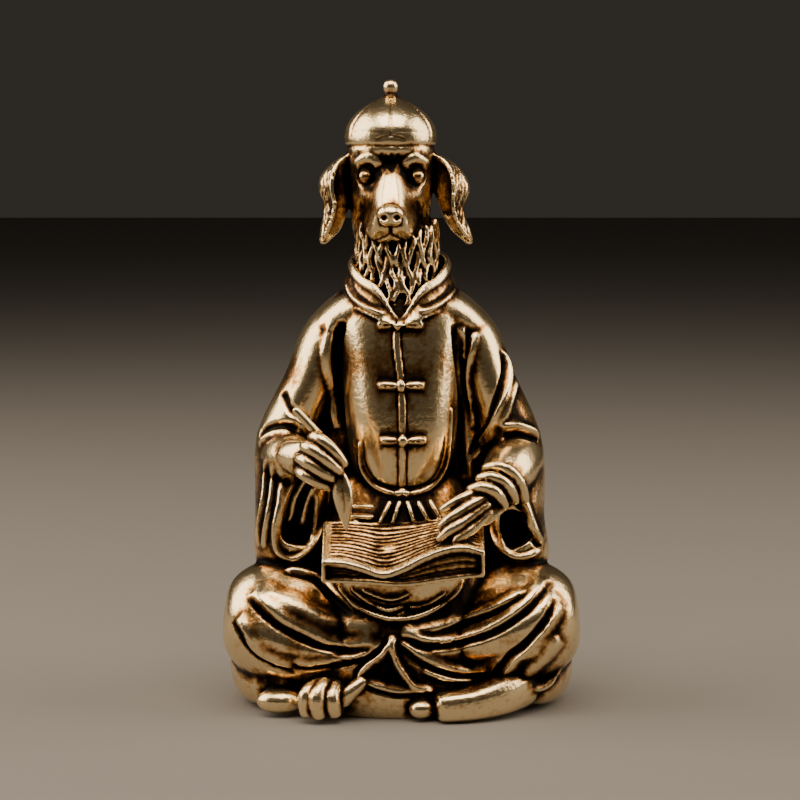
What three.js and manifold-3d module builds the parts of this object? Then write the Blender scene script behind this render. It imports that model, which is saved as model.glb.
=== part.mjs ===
// Small cast brass figure: a dog in a skullcap and a buttoned jacket, seated cross-legged,
// with a writing brush in one hand and the other hand on an open book.
// One solid casting. Millimetres, +Z up, the figure faces -Y, and it stands on z = 0.
import * as THREE from "three";
import { mergeVertices } from "three/addons/utils/BufferGeometryUtils.js";
import { MeshoptSimplifier } from "three/addons/libs/meshopt_simplifier.module.js";
import Module from "manifold-3d";

const wasm = await Module();
wasm.setup();
await MeshoptSimplifier.ready;

// Driving sizes.
const HEIGHT = 49; // underside to the top of the cap's knob
const KNEE = 13.9; // middle of the figure to the outside of a knee
const HEAD = [-0.85, 0.3, 41.4]; // on the skull's axis at the eyes; the head sits a little to one side
const BRIM_Z = 43.9; // underside of the cap
const CAP_RADIUS = 3.6;
const HEM_Z = 16.9; // lower edge of the jacket in front
const SOLE_CUT = 6; // depth of the block that cuts the underside flat
const FINE = 1.6; // how much finer than their stated sides and rows the forms are made before they are joined
const FACES = 9900; // triangles in the finished solid
const JOINED = 1e-3; // points closer than this are one point
const UP = [0, 0, 1];
const FRONT = [0, -1, 0];

const vec = (p) => new THREE.Vector3(...p);
const onHead = (p) => p.map((v, i) => v + HEAD[i]);

// A ball of radius 1, divided more finely than stated.
function sphere(sides, rows) {
  return new THREE.SphereGeometry(1, Math.round(FINE * sides), Math.round(FINE * rows));
}

// Value of an evenly spaced list at t, 0 to 1, on a smooth curve through it.
function along(list, t) {
  if (typeof list === "number") return list;
  const last = list.length - 1;
  const i = Math.min(Math.floor(t * last), last - 1);
  const f = t * last - i;
  const [a, b, c, d] = [i - 1, i, i + 1, i + 2].map((k) => list[THREE.MathUtils.clamp(k, 0, last)]);
  return b + 0.5 * f * (c - a + f * (2 * a - 5 * b + 4 * c - d + f * (3 * (b - c) + d - a)));
}

// Moves every point of a geometry by a function, and joins the points of its seams.
function moved(geometry, place) {
  const bare = geometry.clone();
  bare.deleteAttribute("normal");
  bare.deleteAttribute("uv");
  const position = bare.getAttribute("position");
  for (let i = 0; i < position.count; i++) {
    const p = new THREE.Vector3().fromBufferAttribute(position, i);
    place(p);
    position.setXYZ(i, p.x, p.y, p.z);
  }
  return mergeVertices(bare, JOINED / 10);
}

// A rounded body along a smooth path. wide is its half-width across, deep its half-size towards up,
// blunt is low for pointed ends and high for square ones, and square below 1 fills out the corners
// of its section. flute(t, angle) adds to the radius.
function limb(form) {
  const { path, wide, deep = wide, up = UP, sides = 8, rows = 6, blunt = 4, square = 1, flute = null } = form;
  const curve = new THREE.CatmullRomCurve3(path.map(vec), false, "centripetal");
  const crowd = 0.85; // how far the rows gather towards the two ends
  const corner = (v) => Math.sign(v) * Math.abs(v) ** square;
  return moved(sphere(sides, rows), (p) => {
    const u = Math.acos(THREE.MathUtils.clamp(p.y, -1, 1)) / Math.PI;
    const t = u - (crowd * Math.sin(2 * Math.PI * u)) / (2 * Math.PI);
    const round = (1 - Math.abs(2 * t - 1) ** blunt) ** (1 / Math.min(blunt, 4));
    const angle = Math.atan2(p.z, p.x);
    const back = curve.getTangent(t).negate();
    const high = vec(up).addScaledVector(back, -vec(up).dot(back)).normalize();
    const side = back.clone().cross(high);
    const extra = flute ? flute(t, angle) : 0;
    curve.getPoint(t, p);
    p.addScaledVector(side, corner(Math.cos(angle)) * round * (along(wide, t) + extra));
    p.addScaledVector(high, corner(Math.sin(angle)) * round * (along(deep, t) + extra));
  });
}

// An ellipsoid, turned by angles in degrees about X, Y and Z.
function blob({ at, size, turn = [0, 0, 0], sides = 10, rows = 6 }) {
  const angles = new THREE.Euler(...turn.map(THREE.MathUtils.degToRad));
  return moved(sphere(sides, rows), (p) => {
    p.set(p.x * size[0], -p.z * size[1], p.y * size[2]).applyEuler(angles).add(vec(at));
  });
}

// A closed geometry as a solid that can be joined and cut.
function solid(geometry) {
  const vertProperties = geometry.getAttribute("position").array;
  const triVerts = new Uint32Array(geometry.index.array);
  return new wasm.Manifold(new wasm.Mesh({ numProp: 3, vertProperties, triVerts }));
}

const join = (geometries) => wasm.Manifold.union(geometries.map(solid));

// A solid as a geometry.
function geometryOf(made) {
  const { vertProperties, triVerts, numProp, numVert } = made.getMesh();
  const points = new Float32Array(3 * numVert);
  for (let i = 0; i < numVert; i++) points.set(vertProperties.subarray(i * numProp, i * numProp + 3), 3 * i);
  const geometry = new THREE.BufferGeometry();
  geometry.setAttribute("position", new THREE.BufferAttribute(points, 3));
  geometry.setIndex(new THREE.BufferAttribute(triVerts, 1));
  return geometry;
}

// Lays folds and trim on a solid: each line of [x, z] points in the front view lands on the solid's
// front (or its back, with from: 1), sunk into it by part of its own width.
function laidOn(made, lines) {
  const surface = new THREE.Mesh(geometryOf(made), new THREE.MeshBasicMaterial({ side: THREE.DoubleSide }));
  const far = 40; // where the lines are seen from
  return lines.map((form) => {
    const { line, wide, deep = wide, sink = 0.15, from = -1, rows = line.length + 2, blunt = 3 } = form;
    const path = line.map(([x, z]) => {
      const ray = new THREE.Raycaster(vec([x, from * far, z]), vec([0, -from, 0]));
      const [hit] = ray.intersectObject(surface);
      return [x, hit.point.y - from * sink, z];
    });
    return limb({ path, wide, deep, up: [0, from, 0], sides: 4, rows, blunt });
  });
}

// Skullcap: a turned dome in six panels, with a knob.
function cap() {
  const knob = 0.62; // radius
  const dome = [
    [0, 0.1], [0.97, 0], [1, 0.12], [1, 0.7], [0.975, 1.25], [0.9, 1.8],
    [0.76, 2.4], [0.54, 3.0], [0.28, 3.5], [0.13, 3.85],
  ];
  const profile = dome.map(([r, z]) => new THREE.Vector2(r * CAP_RADIUS, z));
  for (const degrees of [-42, -10, 35, 90]) {
    const turn = THREE.MathUtils.degToRad(degrees);
    const radius = degrees < 90 ? knob * Math.cos(turn) : 0;
    profile.push(new THREE.Vector2(radius, HEIGHT - BRIM_Z - knob + knob * Math.sin(turn)));
  }
  const panels = 6;
  const seam = 0.14; // depth
  return moved(new THREE.LatheGeometry(profile, 4 * panels), (p) => {
    const radius = Math.hypot(p.x, p.z);
    const onSeam = Math.abs(Math.sin((panels / 2) * Math.atan2(p.x, p.z))) < 0.01;
    const onDome = radius > 2 * knob && p.y > 0.5;
    const keep = onSeam && onDome ? 1 - seam / radius : 1;
    p.set(HEAD[0] + p.x * keep, HEAD[1] - p.z * keep, BRIM_Z + p.y);
  });
}

// The face stands forward of the skull. Each list runs up from under the jaw to the forehead:
// heights above the eyes, how far it stands forward, half its flat top, and the width of its slopes.
const FACE = {
  level: [-5.7, -5.2, -4.8, -4.3, -3.7, -3.1, -2.5, -1.9, -1.2, -0.5, 0.2, 0.9, 1.6],
  stand: [0, 1.0, 1.9, 2.55, 2.85, 3.1, 3.0, 2.6, 2.05, 1.4, 0.8, 0.35, 0],
  crown: [0.7, 1.0, 1.3, 1.5, 1.4, 1.15, 0.95, 0.9, 0.8, 0.6, 0.4, 0.4, 0.4],
  flank: [0.6, 0.7, 0.75, 0.8, 0.95, 1.2, 1.4, 1.7, 1.9, 1.4, 0.9, 0.8, 1.0],
};

// Value of one of the face's lists at a height above the eyes.
function onFace(list, z) {
  const above = FACE.level.findIndex((level) => level > z);
  if (above === 0) return list[0];
  if (above < 0) return list.at(-1);
  const [low, high] = [FACE.level[above - 1], FACE.level[above]];
  return THREE.MathUtils.mapLinear(z, low, high, list[above - 1], list[above]);
}

// Head with its muzzle, nose, lips and brows, and the eye sockets and nostrils cut in.
function head() {
  const skull = limb({
    path: [[0, 0.2, 3.4], [0, 0.2, 1.2], [0, 0.3, -1.4], [0, 0.7, -3.6], [0, 0.9, -5.6]].map(onHead),
    wide: [3.5, 3.45, 3.25, 3.1, 2.9],
    deep: [3.5, 3.35, 3.0, 2.8, 2.4],
    up: FRONT,
    sides: 28,
    rows: 24,
    square: 0.8,
  });
  const shaped = moved(skull, (p) => {
    const [x, y, z] = [p.x - HEAD[0], p.y - HEAD[1], p.z - HEAD[2]];
    const slope = (Math.abs(x) - onFace(FACE.crown, z)) / onFace(FACE.flank, z);
    const facing = THREE.MathUtils.clamp((-y - 0.3) / 1.2, 0, 1);
    p.y -= onFace(FACE.stand, z) * (1 - THREE.MathUtils.smoothstep(slope, 0, 1)) * facing;
  });
  const soft = { sides: 10, rows: 6 };
  const pair = (apart, [y, z], size) =>
    [-1, 1].map((s) => blob({ at: onHead([apart * s, y, z]), size, ...soft }));
  const eye = 1.95; // middle of the head to the middle of an eye
  const forms = [
    blob({ at: onHead([0, -5.45, -2.95]), size: [1.25, 0.95, 0.95], ...soft }), // nose
    blob({ at: onHead([0, -4.3, -5.0]), size: [0.85, 0.6, 0.35], ...soft }), // lower lip
    ...pair(0.72, [-3.75, -4.05], [1.2, 1.2, 1.15]), // flews
  ];
  const face = join([shaped, ...forms]);
  const brow = [[2.95, 0.85], [2.55, 1.35], [1.95, 1.5], [1.35, 1.3], [1.1, 0.8]];
  const lid = [[2.75, -0.5], [2.3, -0.82], [1.7, -0.8], [1.2, -0.5]];
  const onSide = (line, s) => line.map(([x, z]) => [HEAD[0] + s * x, HEAD[2] + z]);
  const trim = [-1, 1].flatMap((s) => [
    { line: onSide(brow, s), wide: 0.5, sink: -0.05 },
    { line: onSide(lid, s), wide: 0.24, sink: 0 },
  ]);
  const sockets = pair(eye, [-3.35, -0.05], [0.85, 0.85, 0.75]);
  const nostrils = pair(0.52, [-6.35, -3.1], [0.32, 0.4, 0.3]);
  return face
    .add(join(laidOn(face, trim)))
    .subtract(join([...sockets, ...nostrils]))
    .add(join(pair(eye, [-2.95, -0.08], [0.5, 0.5, 0.5])));
}

// Long hanging ears. Each list runs down an ear as it is seen from the front: its outer edge, its leading
// ridge and its inner edge.
const EAR_TOP = 43.5;
const EAR_LENGTH = 7.4;
const EAR_DEPTH = [1.3, 1.9, 2.2, 2.2, 2.1, 1.9, 1.5, 1.0]; // half of it, front to back
const EARS = [
  {
    outer: [-4.2, -5.5, -6.4, -6.5, -6.1, -6.2, -6.45, -6.6],
    ridge: [-4.1, -5.0, -5.4, -5.45, -5.2, -5.4, -5.8, -6.35],
    inner: [-3.0, -3.6, -3.9, -4.0, -4.1, -4.4, -4.8, -5.7],
  },
  {
    outer: [2.6, 4.2, 5.1, 5.4, 4.95, 5.05, 5.5, 5.8],
    ridge: [2.4, 3.5, 3.95, 4.05, 4.0, 4.2, 4.8, 5.6],
    inner: [1.3, 2.0, 2.3, 2.5, 2.9, 3.3, 3.9, 4.9],
  },
];

function ear({ outer, ridge, inner }) {
  const flap = limb({
    path: [[0, 0, EAR_TOP], [0, 0, EAR_TOP - EAR_LENGTH]],
    wide: 1,
    up: [1, 0, 0],
    sides: 12,
    rows: 14,
    blunt: 3.5,
  });
  return moved(flap, (p) => {
    const t = THREE.MathUtils.clamp((EAR_TOP - p.z) / EAR_LENGTH, 0, 1);
    const [out, lead, back] = [outer, ridge, inner].map((list) => along(list, t));
    const across = (out + back) / 2 + (p.x * Math.abs(out - back)) / 2;
    const forward = THREE.MathUtils.clamp(-p.y, 0, 1) ** 1.6;
    p.set(across + (lead - across) * forward, HEAD[1] + p.y * along(EAR_DEPTH, t) - 0.5 * t, p.z);
  });
}

// Neck with a beard of hanging, slightly waving locks.
function neck() {
  const locks = 16;
  const deepest = 0.28;
  return limb({
    path: [[-0.15, 0.6, 30.4], [-0.3, 0.2, 33.4], [-0.4, 0.1, 36.0], [-0.6, 0.4, 39.6]],
    wide: [2.8, 3.0, 3.05, 2.9],
    deep: [3.1, 2.9, 2.8, 2.4],
    up: FRONT,
    sides: 2 * locks,
    rows: 8,
    flute: (t, angle) => deepest * Math.cos(locks * angle + 1.2 * Math.sin(16 * t)),
  });
}

// Standing collar, open in a V at the front, with a beaded upper edge.
function collar() {
  const upper = [30.4, 32.1, 33.0, 33.8, 34.7, 35.1, 35.3, 35.4, 35.4]; // front to back
  const lower = [29.9, 30.5, 31.2, 31.8, 32.4, 32.5, 32.5, 32.5, 32.5];
  const section = [[0, 0], [0.5, 0], [0.35, 0.72], [0.56, 0.85], [0.45, 1.08], [0.12, 1.02], [0, 0]];
  const inner = 3.25; // radius inside the rim
  const ring = new THREE.LatheGeometry(section.map(([r, h]) => new THREE.Vector2(inner + r, h)), 20);
  return moved(ring, (p) => {
    const turn = Math.atan2(p.x, p.z); // 0 at the front
    const t = Math.abs(turn) / Math.PI;
    const low = along(lower, t);
    const radius = Math.hypot(p.x, p.z) + 0.7 * (1 - p.y) + 0.75 * (1 - t) ** 2;
    const z = low + (along(upper, t) - low) * p.y;
    p.set(-0.15 + radius * Math.sin(turn), 0.6 - radius * Math.cos(turn), z);
  });
}

// Jacket body, its back between the arms, the shoulders across both, and the robe below, down to the seat.
function trunk() {
  return [
    limb({
      path: [[-6.8, 0.9, 29.0], [-3.6, 0.4, 30.7], [0, 0.2, 31.0], [3.6, 0.4, 30.7], [6.6, 0.9, 29.0]],
      wide: [1.4, 2.0, 2.1, 2.0, 1.4],
      deep: [2.9, 3.2, 3.6, 3.2, 2.9],
      up: FRONT,
      sides: 12,
    }),
    limb({
      path: [[-0.1, 0.9, 33.2], [-0.05, 0.8, 30.6], [0, 0.6, 26.6], [0, 0.5, 21.6], [0, 0.5, 15.8]],
      wide: [4.0, 5.3, 4.9, 4.65, 4.3],
      deep: [3.4, 4.5, 5.1, 5.7, 5.7],
      up: FRONT,
      sides: 18,
      rows: 9,
      square: 0.75,
    }),
    limb({
      path: [[-0.1, 1.2, 33.9], [0, 1.9, 28.5], [0, 2.4, 21], [0, 2.4, 14], [0, 2.2, 8]],
      wide: [4.6, 6.6, 8.6, 9.4, 9.4],
      deep: [3.0, 3.8, 4.4, 4.8, 5.4],
      up: FRONT,
      sides: 12,
      rows: 7,
      square: 0.85,
    }),
    limb({
      path: [[0, 0.8, 19], [0, 0.2, 14.5], [0, -0.6, 11], [0, -0.4, 7], [0, 0.2, 3], [0, 0.6, -1]],
      wide: [5.4, 6.6, 7.6, 9.0, 10.6, 11.4],
      deep: [4.8, 5.6, 7.2, 8.8, 9.4, 9.2],
      up: FRONT,
      sides: 16,
      rows: 8,
      blunt: 7,
    }),
  ];
}

// Arms in wide sleeves, from the shoulder to the hem at the lap, with the hollow mouths cut in.
function sleeves() {
  const hanging = { up: FRONT, sides: 12, rows: 11, blunt: 6 };
  const forearm = (path, wide) => limb({ path, wide, sides: 10, rows: 5 });
  const right = [
    limb({
      ...hanging,
      path: [
        [-3.4, 1.2, 32.3], [-5.8, 0.9, 28.8], [-7.2, 0.5, 25.2], [-9.1, 0.1, 20.6],
        [-8.6, -0.9, 17.4], [-8.9, -1.8, 14.4], [-9.2, -2.4, 10.6],
      ],
      wide: [1.4, 2.1, 2.1, 2.45, 3.0, 2.75, 3.0],
      deep: [2.4, 3.1, 3.2, 3.4, 3.8, 3.8, 3.4],
    }),
    forearm([[-9.4, 0, 19.4], [-8.8, -3.2, 19.6], [-7.3, -6.0, 19.6]], [2.2, 2.0, 1.5]),
  ];
  const left = [
    limb({
      ...hanging,
      path: [
        [3.2, 1.2, 32.3], [5.7, 0.9, 28.8], [6.9, 0.5, 25.3], [8.7, 0.1, 20.6],
        [8.9, -0.9, 17.2], [9.0, -1.8, 14.2], [9.6, -2.4, 10.6],
      ],
      wide: [1.4, 2.05, 2.1, 2.4, 2.45, 2.35, 2.8],
      deep: [2.4, 3.1, 3.2, 3.4, 3.8, 3.8, 3.4],
    }),
    forearm([[9.4, 0, 19.6], [8.4, -3.6, 18.6], [6.8, -6.6, 17.0]], [2.3, 2.1, 1.5]),
  ];
  const mouths = [
    limb({
      path: [[-7.2, -6.8, 18.6], [-7.5, -6.0, 15.8], [-8.3, -5.6, 12.9]],
      wide: [1.3, 1.65, 1.3],
      deep: 2.5,
      up: FRONT,
    }),
    limb({
      path: [[8.3, -6.2, 15.4], [8.7, -5.9, 14.2], [9.4, -5.6, 12.9]],
      wide: [0.8, 1.3, 1.1],
      deep: 2.3,
      up: FRONT,
    }),
  ];
  return { cloth: [...right, ...left], mouths };
}

// Folds of the sleeves, and the rims of their mouths.
const SLEEVE_FOLDS = [
  { line: [[-5.4, 29.8], [-5.9, 27.4], [-5.3, 23.6]], wide: 0.6 },
  { line: [[-10.8, 20.8], [-9.9, 21.5], [-8.6, 21.7]], wide: 0.6 },
  { line: [[-9.9, 19.1], [-10.3, 16.0], [-10.9, 12.8]], wide: 0.5 },
  { line: [[-9.2, 19.0], [-9.1, 15.6], [-10.0, 12.7]], wide: 0.45 },
  { line: [[-10.0, 12.7], [-8.6, 12.1], [-7.2, 13.0], [-6.2, 15.4], [-5.9, 17.4]], wide: 0.5 },
  { line: [[5.1, 29.6], [5.2, 26.9], [5.5, 23.4]], wide: 0.6 },
  { line: [[8.0, 27.8], [8.3, 25.8], [7.4, 23.0], [6.5, 20.9]], wide: 0.6 },
  { line: [[7.7, 21.7], [9.2, 22.1], [10.3, 21.4]], wide: 0.6 },
  { line: [[6.6, 18.5], [8.1, 18.9], [9.3, 16.7], [10.9, 12.9]], wide: 0.6 },
  { line: [[6.9, 14.2], [8.0, 12.6], [9.3, 12.3], [10.6, 12.8]], wide: 0.45 },
];

// Placket, three toggles, the piping of the jacket's lower edge with its knot, and the pleats below it.
const HEM = [
  [-3.5, 20.6], [-3.3, 18.9], [-2.5, 17.7], [-1.3, 17.1], [0.1, HEM_Z],
  [1.7, 17.1], [2.9, 17.9], [3.7, 19.2], [3.9, 20.8],
];
const PLACKET = [[-0.35, 30.0], [-0.35, 28.2], [-0.1, 26.2], [0.05, 23], [0.05, 19.8], [0.05, 17.4]];
const TOGGLES = [[-0.1, 30.0], [-0.02, 25.35], [0.15, 21.1]];
const PLEATS = [-2.4, -1.2, 0, 1.2, 2.4]; // where their lower ends are
const FASTENINGS = [
  { line: PLACKET, wide: 0.32, sink: 0.05 },
  ...TOGGLES.map(([x, z]) => ({
    line: [[x - 1.8, z], [x, z], [x + 1.8, z]],
    wide: [0.3, 0.36, 0.42, 0.36, 0.3],
    deep: [0.3, 0.4, 0.6, 0.4, 0.3],
    sink: -0.1,
    rows: 6,
  })),
  { line: HEM, wide: 0.28, sink: 0.05 },
  { line: [[-0.5, HEM_Z], [0.6, HEM_Z]], wide: 0.42, sink: -0.15, rows: 4 },
  ...PLEATS.map((x) => ({ line: [[x * 0.6, 16.3], [x, 14.9]], wide: 0.3, sink: 0, rows: 3 })),
];

const finger = (path) => limb({ path, wide: [0.46, 0.5, 0.46, 0.4], sides: 5, rows: 5 });

// Right hand closed round the brush, and the brush.
function brushHand() {
  const fingers = [
    [[-7.0, -7.3, 21.7], [-6.2, -8.2, 21.6], [-5.1, -8.5, 20.7], [-4.2, -8.2, 19.5]],
    [[-7.6, -7.5, 21.0], [-6.9, -8.4, 20.9], [-5.6, -8.7, 20.0], [-4.5, -8.3, 19.0]],
    [[-8.0, -7.2, 20.1], [-7.2, -8.3, 19.9], [-6.0, -8.5, 19.1], [-4.9, -8.1, 18.4]],
    [[-8.0, -6.9, 19.1], [-7.3, -8.0, 18.8], [-6.2, -8.1, 18.2], [-5.4, -7.7, 17.8]],
  ];
  const palm = limb({
    path: [[-9.0, -4.6, 20.0], [-7.9, -6.2, 19.9], [-7.0, -7.0, 19.8], [-6.2, -7.4, 19.6]],
    wide: [1.3, 1.4, 1.5, 1.2],
    deep: [1.3, 1.2, 1.1, 0.8],
    up: FRONT,
  });
  const handle = limb({ path: [[-8.2, -7.4, 23.9], [-4.6, -8.2, 20.1]], wide: 0.36, sides: 6, blunt: 8 });
  const bristles = limb({
    path: [[-4.75, -8.1, 19.3], [-4.45, -8.2, 17.4], [-4.15, -8.3, 14.5]],
    wide: [0.35, 0.6, 0.1],
    sides: 6,
    blunt: 3,
  });
  return [palm, ...fingers.map(finger), handle, bristles];
}

// Left hand flat on the page, with the rolled cuffs of three sleeves round the wrist.
function restingHand() {
  const fingers = [
    [[5.7, -7.6, 17.3], [4.7, -7.9, 17.0], [3.9, -7.9, 16.6], [2.9, -7.8, 16.0]],
    [[5.4, -8.2, 16.6], [4.4, -8.6, 16.0], [3.5, -8.6, 15.4], [2.75, -8.4, 14.8]],
    [[5.4, -8.4, 15.8], [4.5, -8.9, 15.2], [3.5, -9.0, 14.6], [2.7, -8.8, 13.9]],
    [[5.8, -8.4, 15.2], [5.0, -8.9, 14.6], [4.3, -9.1, 14.1], [3.9, -9.1, 13.7]],
  ];
  const cuffs = [
    [[5.0, -7.3, 17.6], [6.2, -8.0, 17.9], [7.3, -8.0, 17.4], [8.0, -7.2, 16.1]],
    [[5.7, -6.8, 18.4], [7.0, -7.5, 18.6], [8.2, -7.3, 17.8], [8.8, -6.5, 16.4]],
    [[6.2, -5.9, 19.1], [7.7, -6.7, 19.3], [9.0, -6.5, 18.2], [9.6, -5.9, 16.4]],
  ];
  const palm = limb({
    path: [[7.6, -6.6, 17.1], [6.8, -7.3, 16.6], [5.9, -7.9, 16.0], [5.1, -8.2, 15.6]],
    wide: [1.1, 1.35, 1.4, 1.1],
    deep: [0.8, 0.8, 0.7, 0.5],
    up: [0, -0.9, 0.45],
  });
  return [palm, ...fingers.map(finger), ...cuffs.map((path) => limb({ path, wide: 0.46, sides: 6 }))];
}

// Open book lying on the lap: front outlines extruded up the slope, with the page block set back between
// the open page and the cover.
function book() {
  const depth = 4.6;
  const slope = THREE.MathUtils.degToRad(31);
  const [farEdge, farTop] = [-5.9, 12.85]; // where the slope starts, against the jacket
  const farPage = 2.2; // height of the open page above the slope at its far edge, where it lies flat
  const page = 0.9; // points of the outline above this are on the open page
  const extruded = (points, start, thick) => {
    const outline = new THREE.Shape();
    outline.moveTo(...points[0]);
    for (let i = 1; i < points.length; i += 2) outline.quadraticCurveTo(...points[i], ...points[i + 1]);
    const slab = new THREE.ExtrudeGeometry(outline, { depth: thick, bevelEnabled: false, curveSegments: 3 });
    return moved(slab, (p) => {
      const down = start + p.z;
      const near = Math.min(down / depth, 1);
      const height = p.y > page ? THREE.MathUtils.lerp(farPage, p.y, near) : p.y;
      p.set(p.x, farEdge - down * Math.cos(slope), farTop + height - down * Math.sin(slope));
    });
  };
  const cover = [
    [-6.05, 0.3], [-3.0, 0.2], [-0.35, 0], [2.6, 0.4], [6.35, 0.75], [6.3, 1.7], [6.2, 2.75],
    [5.4, 3.3], [4.6, 2.7], [2.2, 2.0], [-0.35, 1.05], [-3.0, 2.0], [-6.05, 2.0], [-6.05, 1.2], [-6.05, 0.3],
  ];
  const gap = [
    [-5.6, 0.75], [-3.0, 0.6], [-0.35, 0.35], [2.6, 0.9], [6.0, 1.2], [6.0, 1.7], [5.9, 2.4],
    [5.2, 2.7], [4.6, 2.3], [2.2, 1.6], [-0.35, 0.7], [-3.0, 1.6], [-5.6, 1.6], [-5.6, 1.2], [-5.6, 0.75],
  ];
  const setBack = 0.3;
  return solid(extruded(cover, 0, depth)).subtract(solid(extruded(gap, depth - setBack, 2 * setBack)));
}

// Crossed legs in wide trousers: a knee and the seat behind it on each side.
function legs() {
  return [-1, 1].flatMap((s) => {
    const out = (p) => [p[0] * s, p[1], p[2]];
    const thigh = [
      [1.0, -1.0, 4.6], [5.0, -1.8, 5.2], [KNEE - 4.9, -3.2, 6.4], [KNEE - 2.6, -4.0, 7.0], [KNEE, -4.2, 7.3],
    ];
    const seat = [[KNEE - 5.5, -6.4, 2.5], [KNEE - 2.9, -4.4, 3.0], [KNEE - 2.6, 0, 3.2], [5.5, 6.6, 3.4]];
    return [
      limb({
        path: thigh.map(out),
        wide: [6.8, 6.6, 5.5, 5.0, 4.4],
        deep: [3.4, 4.4, 5.1, 4.9, 4.4],
        sides: 14,
        rows: 10,
        blunt: 2.6,
      }),
      limb({
        path: seat.map(out),
        wide: [1.4, 1.7, 2.1, 3.2],
        deep: [2.0, 2.8, 3.1, 3.4],
        rows: 7,
      }),
    ];
  });
}

// Broad folds that cross the trousers from each knee to the middle, then the narrow lips between them,
// and the turned-up cloth at the middle.
const LEG_FOLDS = [
  { line: [[-11.6, 9.8], [-8.6, 8.7], [-5.6, 7.4], [-2.2, 7.0]], wide: 1.15, sink: 0.6 },
  { line: [[-12.6, 7.8], [-10.2, 6.0], [-7.0, 5.0], [-3.4, 5.2]], wide: 1.0, sink: 0.5 },
  { line: [[11.8, 9.2], [9.6, 7.3], [6.0, 5.8], [2.4, 5.4]], wide: 1.05, sink: 0.5 },
  { line: [[12.1, 6.0], [10.2, 4.2], [8.4, 2.6]], wide: 1.0, sink: 0.5 },
  { line: [[-9.0, 11.2], [-6.4, 10.4], [-3.4, 8.3]], wide: 0.6, sink: 0.2 },
  { line: [[-10.6, 8.8], [-8.6, 7.2], [-5.4, 5.8], [-2.4, 6.2]], wide: 0.5, sink: 0 },
  { line: [[-12.3, 6.9], [-10.8, 5.0], [-8.0, 3.9]], wide: 0.55, sink: 0 },
  { line: [[-7.8, 4.2], [-5.0, 4.3], [-2.0, 5.6]], wide: 0.45, sink: 0 },
  { line: [[0.5, 6.7], [3.2, 6.0], [6.4, 6.8], [9.2, 8.6], [10.9, 10.3]], wide: 0.5, sink: 0 },
  { line: [[2.2, 7.6], [5.6, 8.3], [9.2, 10.0]], wide: 0.45, sink: 0 },
  { line: [[0.2, 5.9], [2.2, 4.5], [4.8, 3.6]], wide: 0.45, sink: 0 },
  { line: [[11.3, 7.7], [9.4, 5.2], [7.2, 2.5]], wide: 0.55, sink: 0 },
  { line: [[9.3, 2.5], [10.6, 2.0], [12.2, 3.4]], wide: 0.45, sink: 0.1 },
  { line: [[-0.7, 6.5], [-2.4, 4.5], [-3.2, 3.3], [-1.6, 2.5], [2.2, 2.4]], wide: 0.5, sink: 0 },
  { line: [[-0.7, 6.5], [-0.3, 4.6], [1.1, 2.7]], wide: 0.5, sink: 0 },
];

// Plain folds down the back of the jacket, and its hem.
const BACK_FOLDS = [
  { line: [[-2.2, 28.5], [-2.9, 22], [-3.4, 14.5]], wide: 0.7, from: 1 },
  { line: [[2.0, 28.5], [2.7, 22], [3.2, 14.5]], wide: 0.7, from: 1 },
  { line: [[-5.4, 27.5], [-6.4, 21], [-6.8, 14.5]], wide: 0.7, from: 1 },
  { line: [[5.2, 27.5], [6.2, 21], [6.6, 14.5]], wide: 0.7, from: 1 },
];

// Robe's flap that hangs in a U below the book.
function frontFlap() {
  const hanging = { up: FRONT, sides: 8, rows: 8, blunt: 3 };
  return [
    limb({
      ...hanging,
      path: [[-5.4, -7.0, 10.8], [-3.2, -7.9, 9.5], [-0.2, -8.2, 8.9], [3.0, -7.9, 9.5], [5.1, -7.0, 10.8]],
      wide: [0.7, 1.0, 1.2, 1.0, 0.7],
      deep: [1.0, 1.5, 1.6, 1.5, 1.0],
    }),
    limb({
      ...hanging,
      path: [[-4.0, -7.8, 10.6], [-1.2, -9.1, 9.3], [1.4, -9.0, 9.5], [3.6, -7.8, 10.6]],
      wide: 0.6,
      deep: 0.9,
      rows: 6,
    }),
  ];
}

// Paw, trouser hems and the cloth between the legs, low at the front.
function lowerFront() {
  const paw = -5.7; // its middle
  const toes = [-1.3, -0.45, 0.45];
  return [
    blob({ at: [paw, -8.6, 1.7], size: [1.75, 1.5, 1.7] }),
    ...toes.map((x) =>
      limb({
        path: [[paw + x, -9.0, 3.2], [paw + 1.2 * x, -10.3, 1.9], [paw + x, -9.7, 0.4]],
        wide: 0.52,
        up: [1, 0, 0],
        sides: 6,
        rows: 5,
      }),
    ),
    limb({
      path: [[-4.7, -9.0, 1.5], [-3.9, -9.2, 2.3], [-2.8, -8.8, 3.2]],
      wide: [0.8, 0.6, 0.5],
      sides: 6,
      rows: 5,
    }),
    limb({
      path: [[9.6, -5.6, 2.6], [7.4, -7.8, 1.9], [5.0, -9.0, 1.5], [2.5, -9.6, 1.3]],
      wide: [1.7, 1.6, 1.35, 1.25],
      deep: [2.0, 1.9, 1.4, 1.35],
      rows: 7,
      blunt: 7,
    }),
    blob({ at: [1.4, -9.2, 1.0], size: [1.0, 0.95, 0.95], sides: 8, rows: 5 }),
    blob({ at: [-9.3, -7.3, 1.3], size: [2.2, 1.3, 1.3], sides: 8, rows: 5 }),
  ];
}

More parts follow.
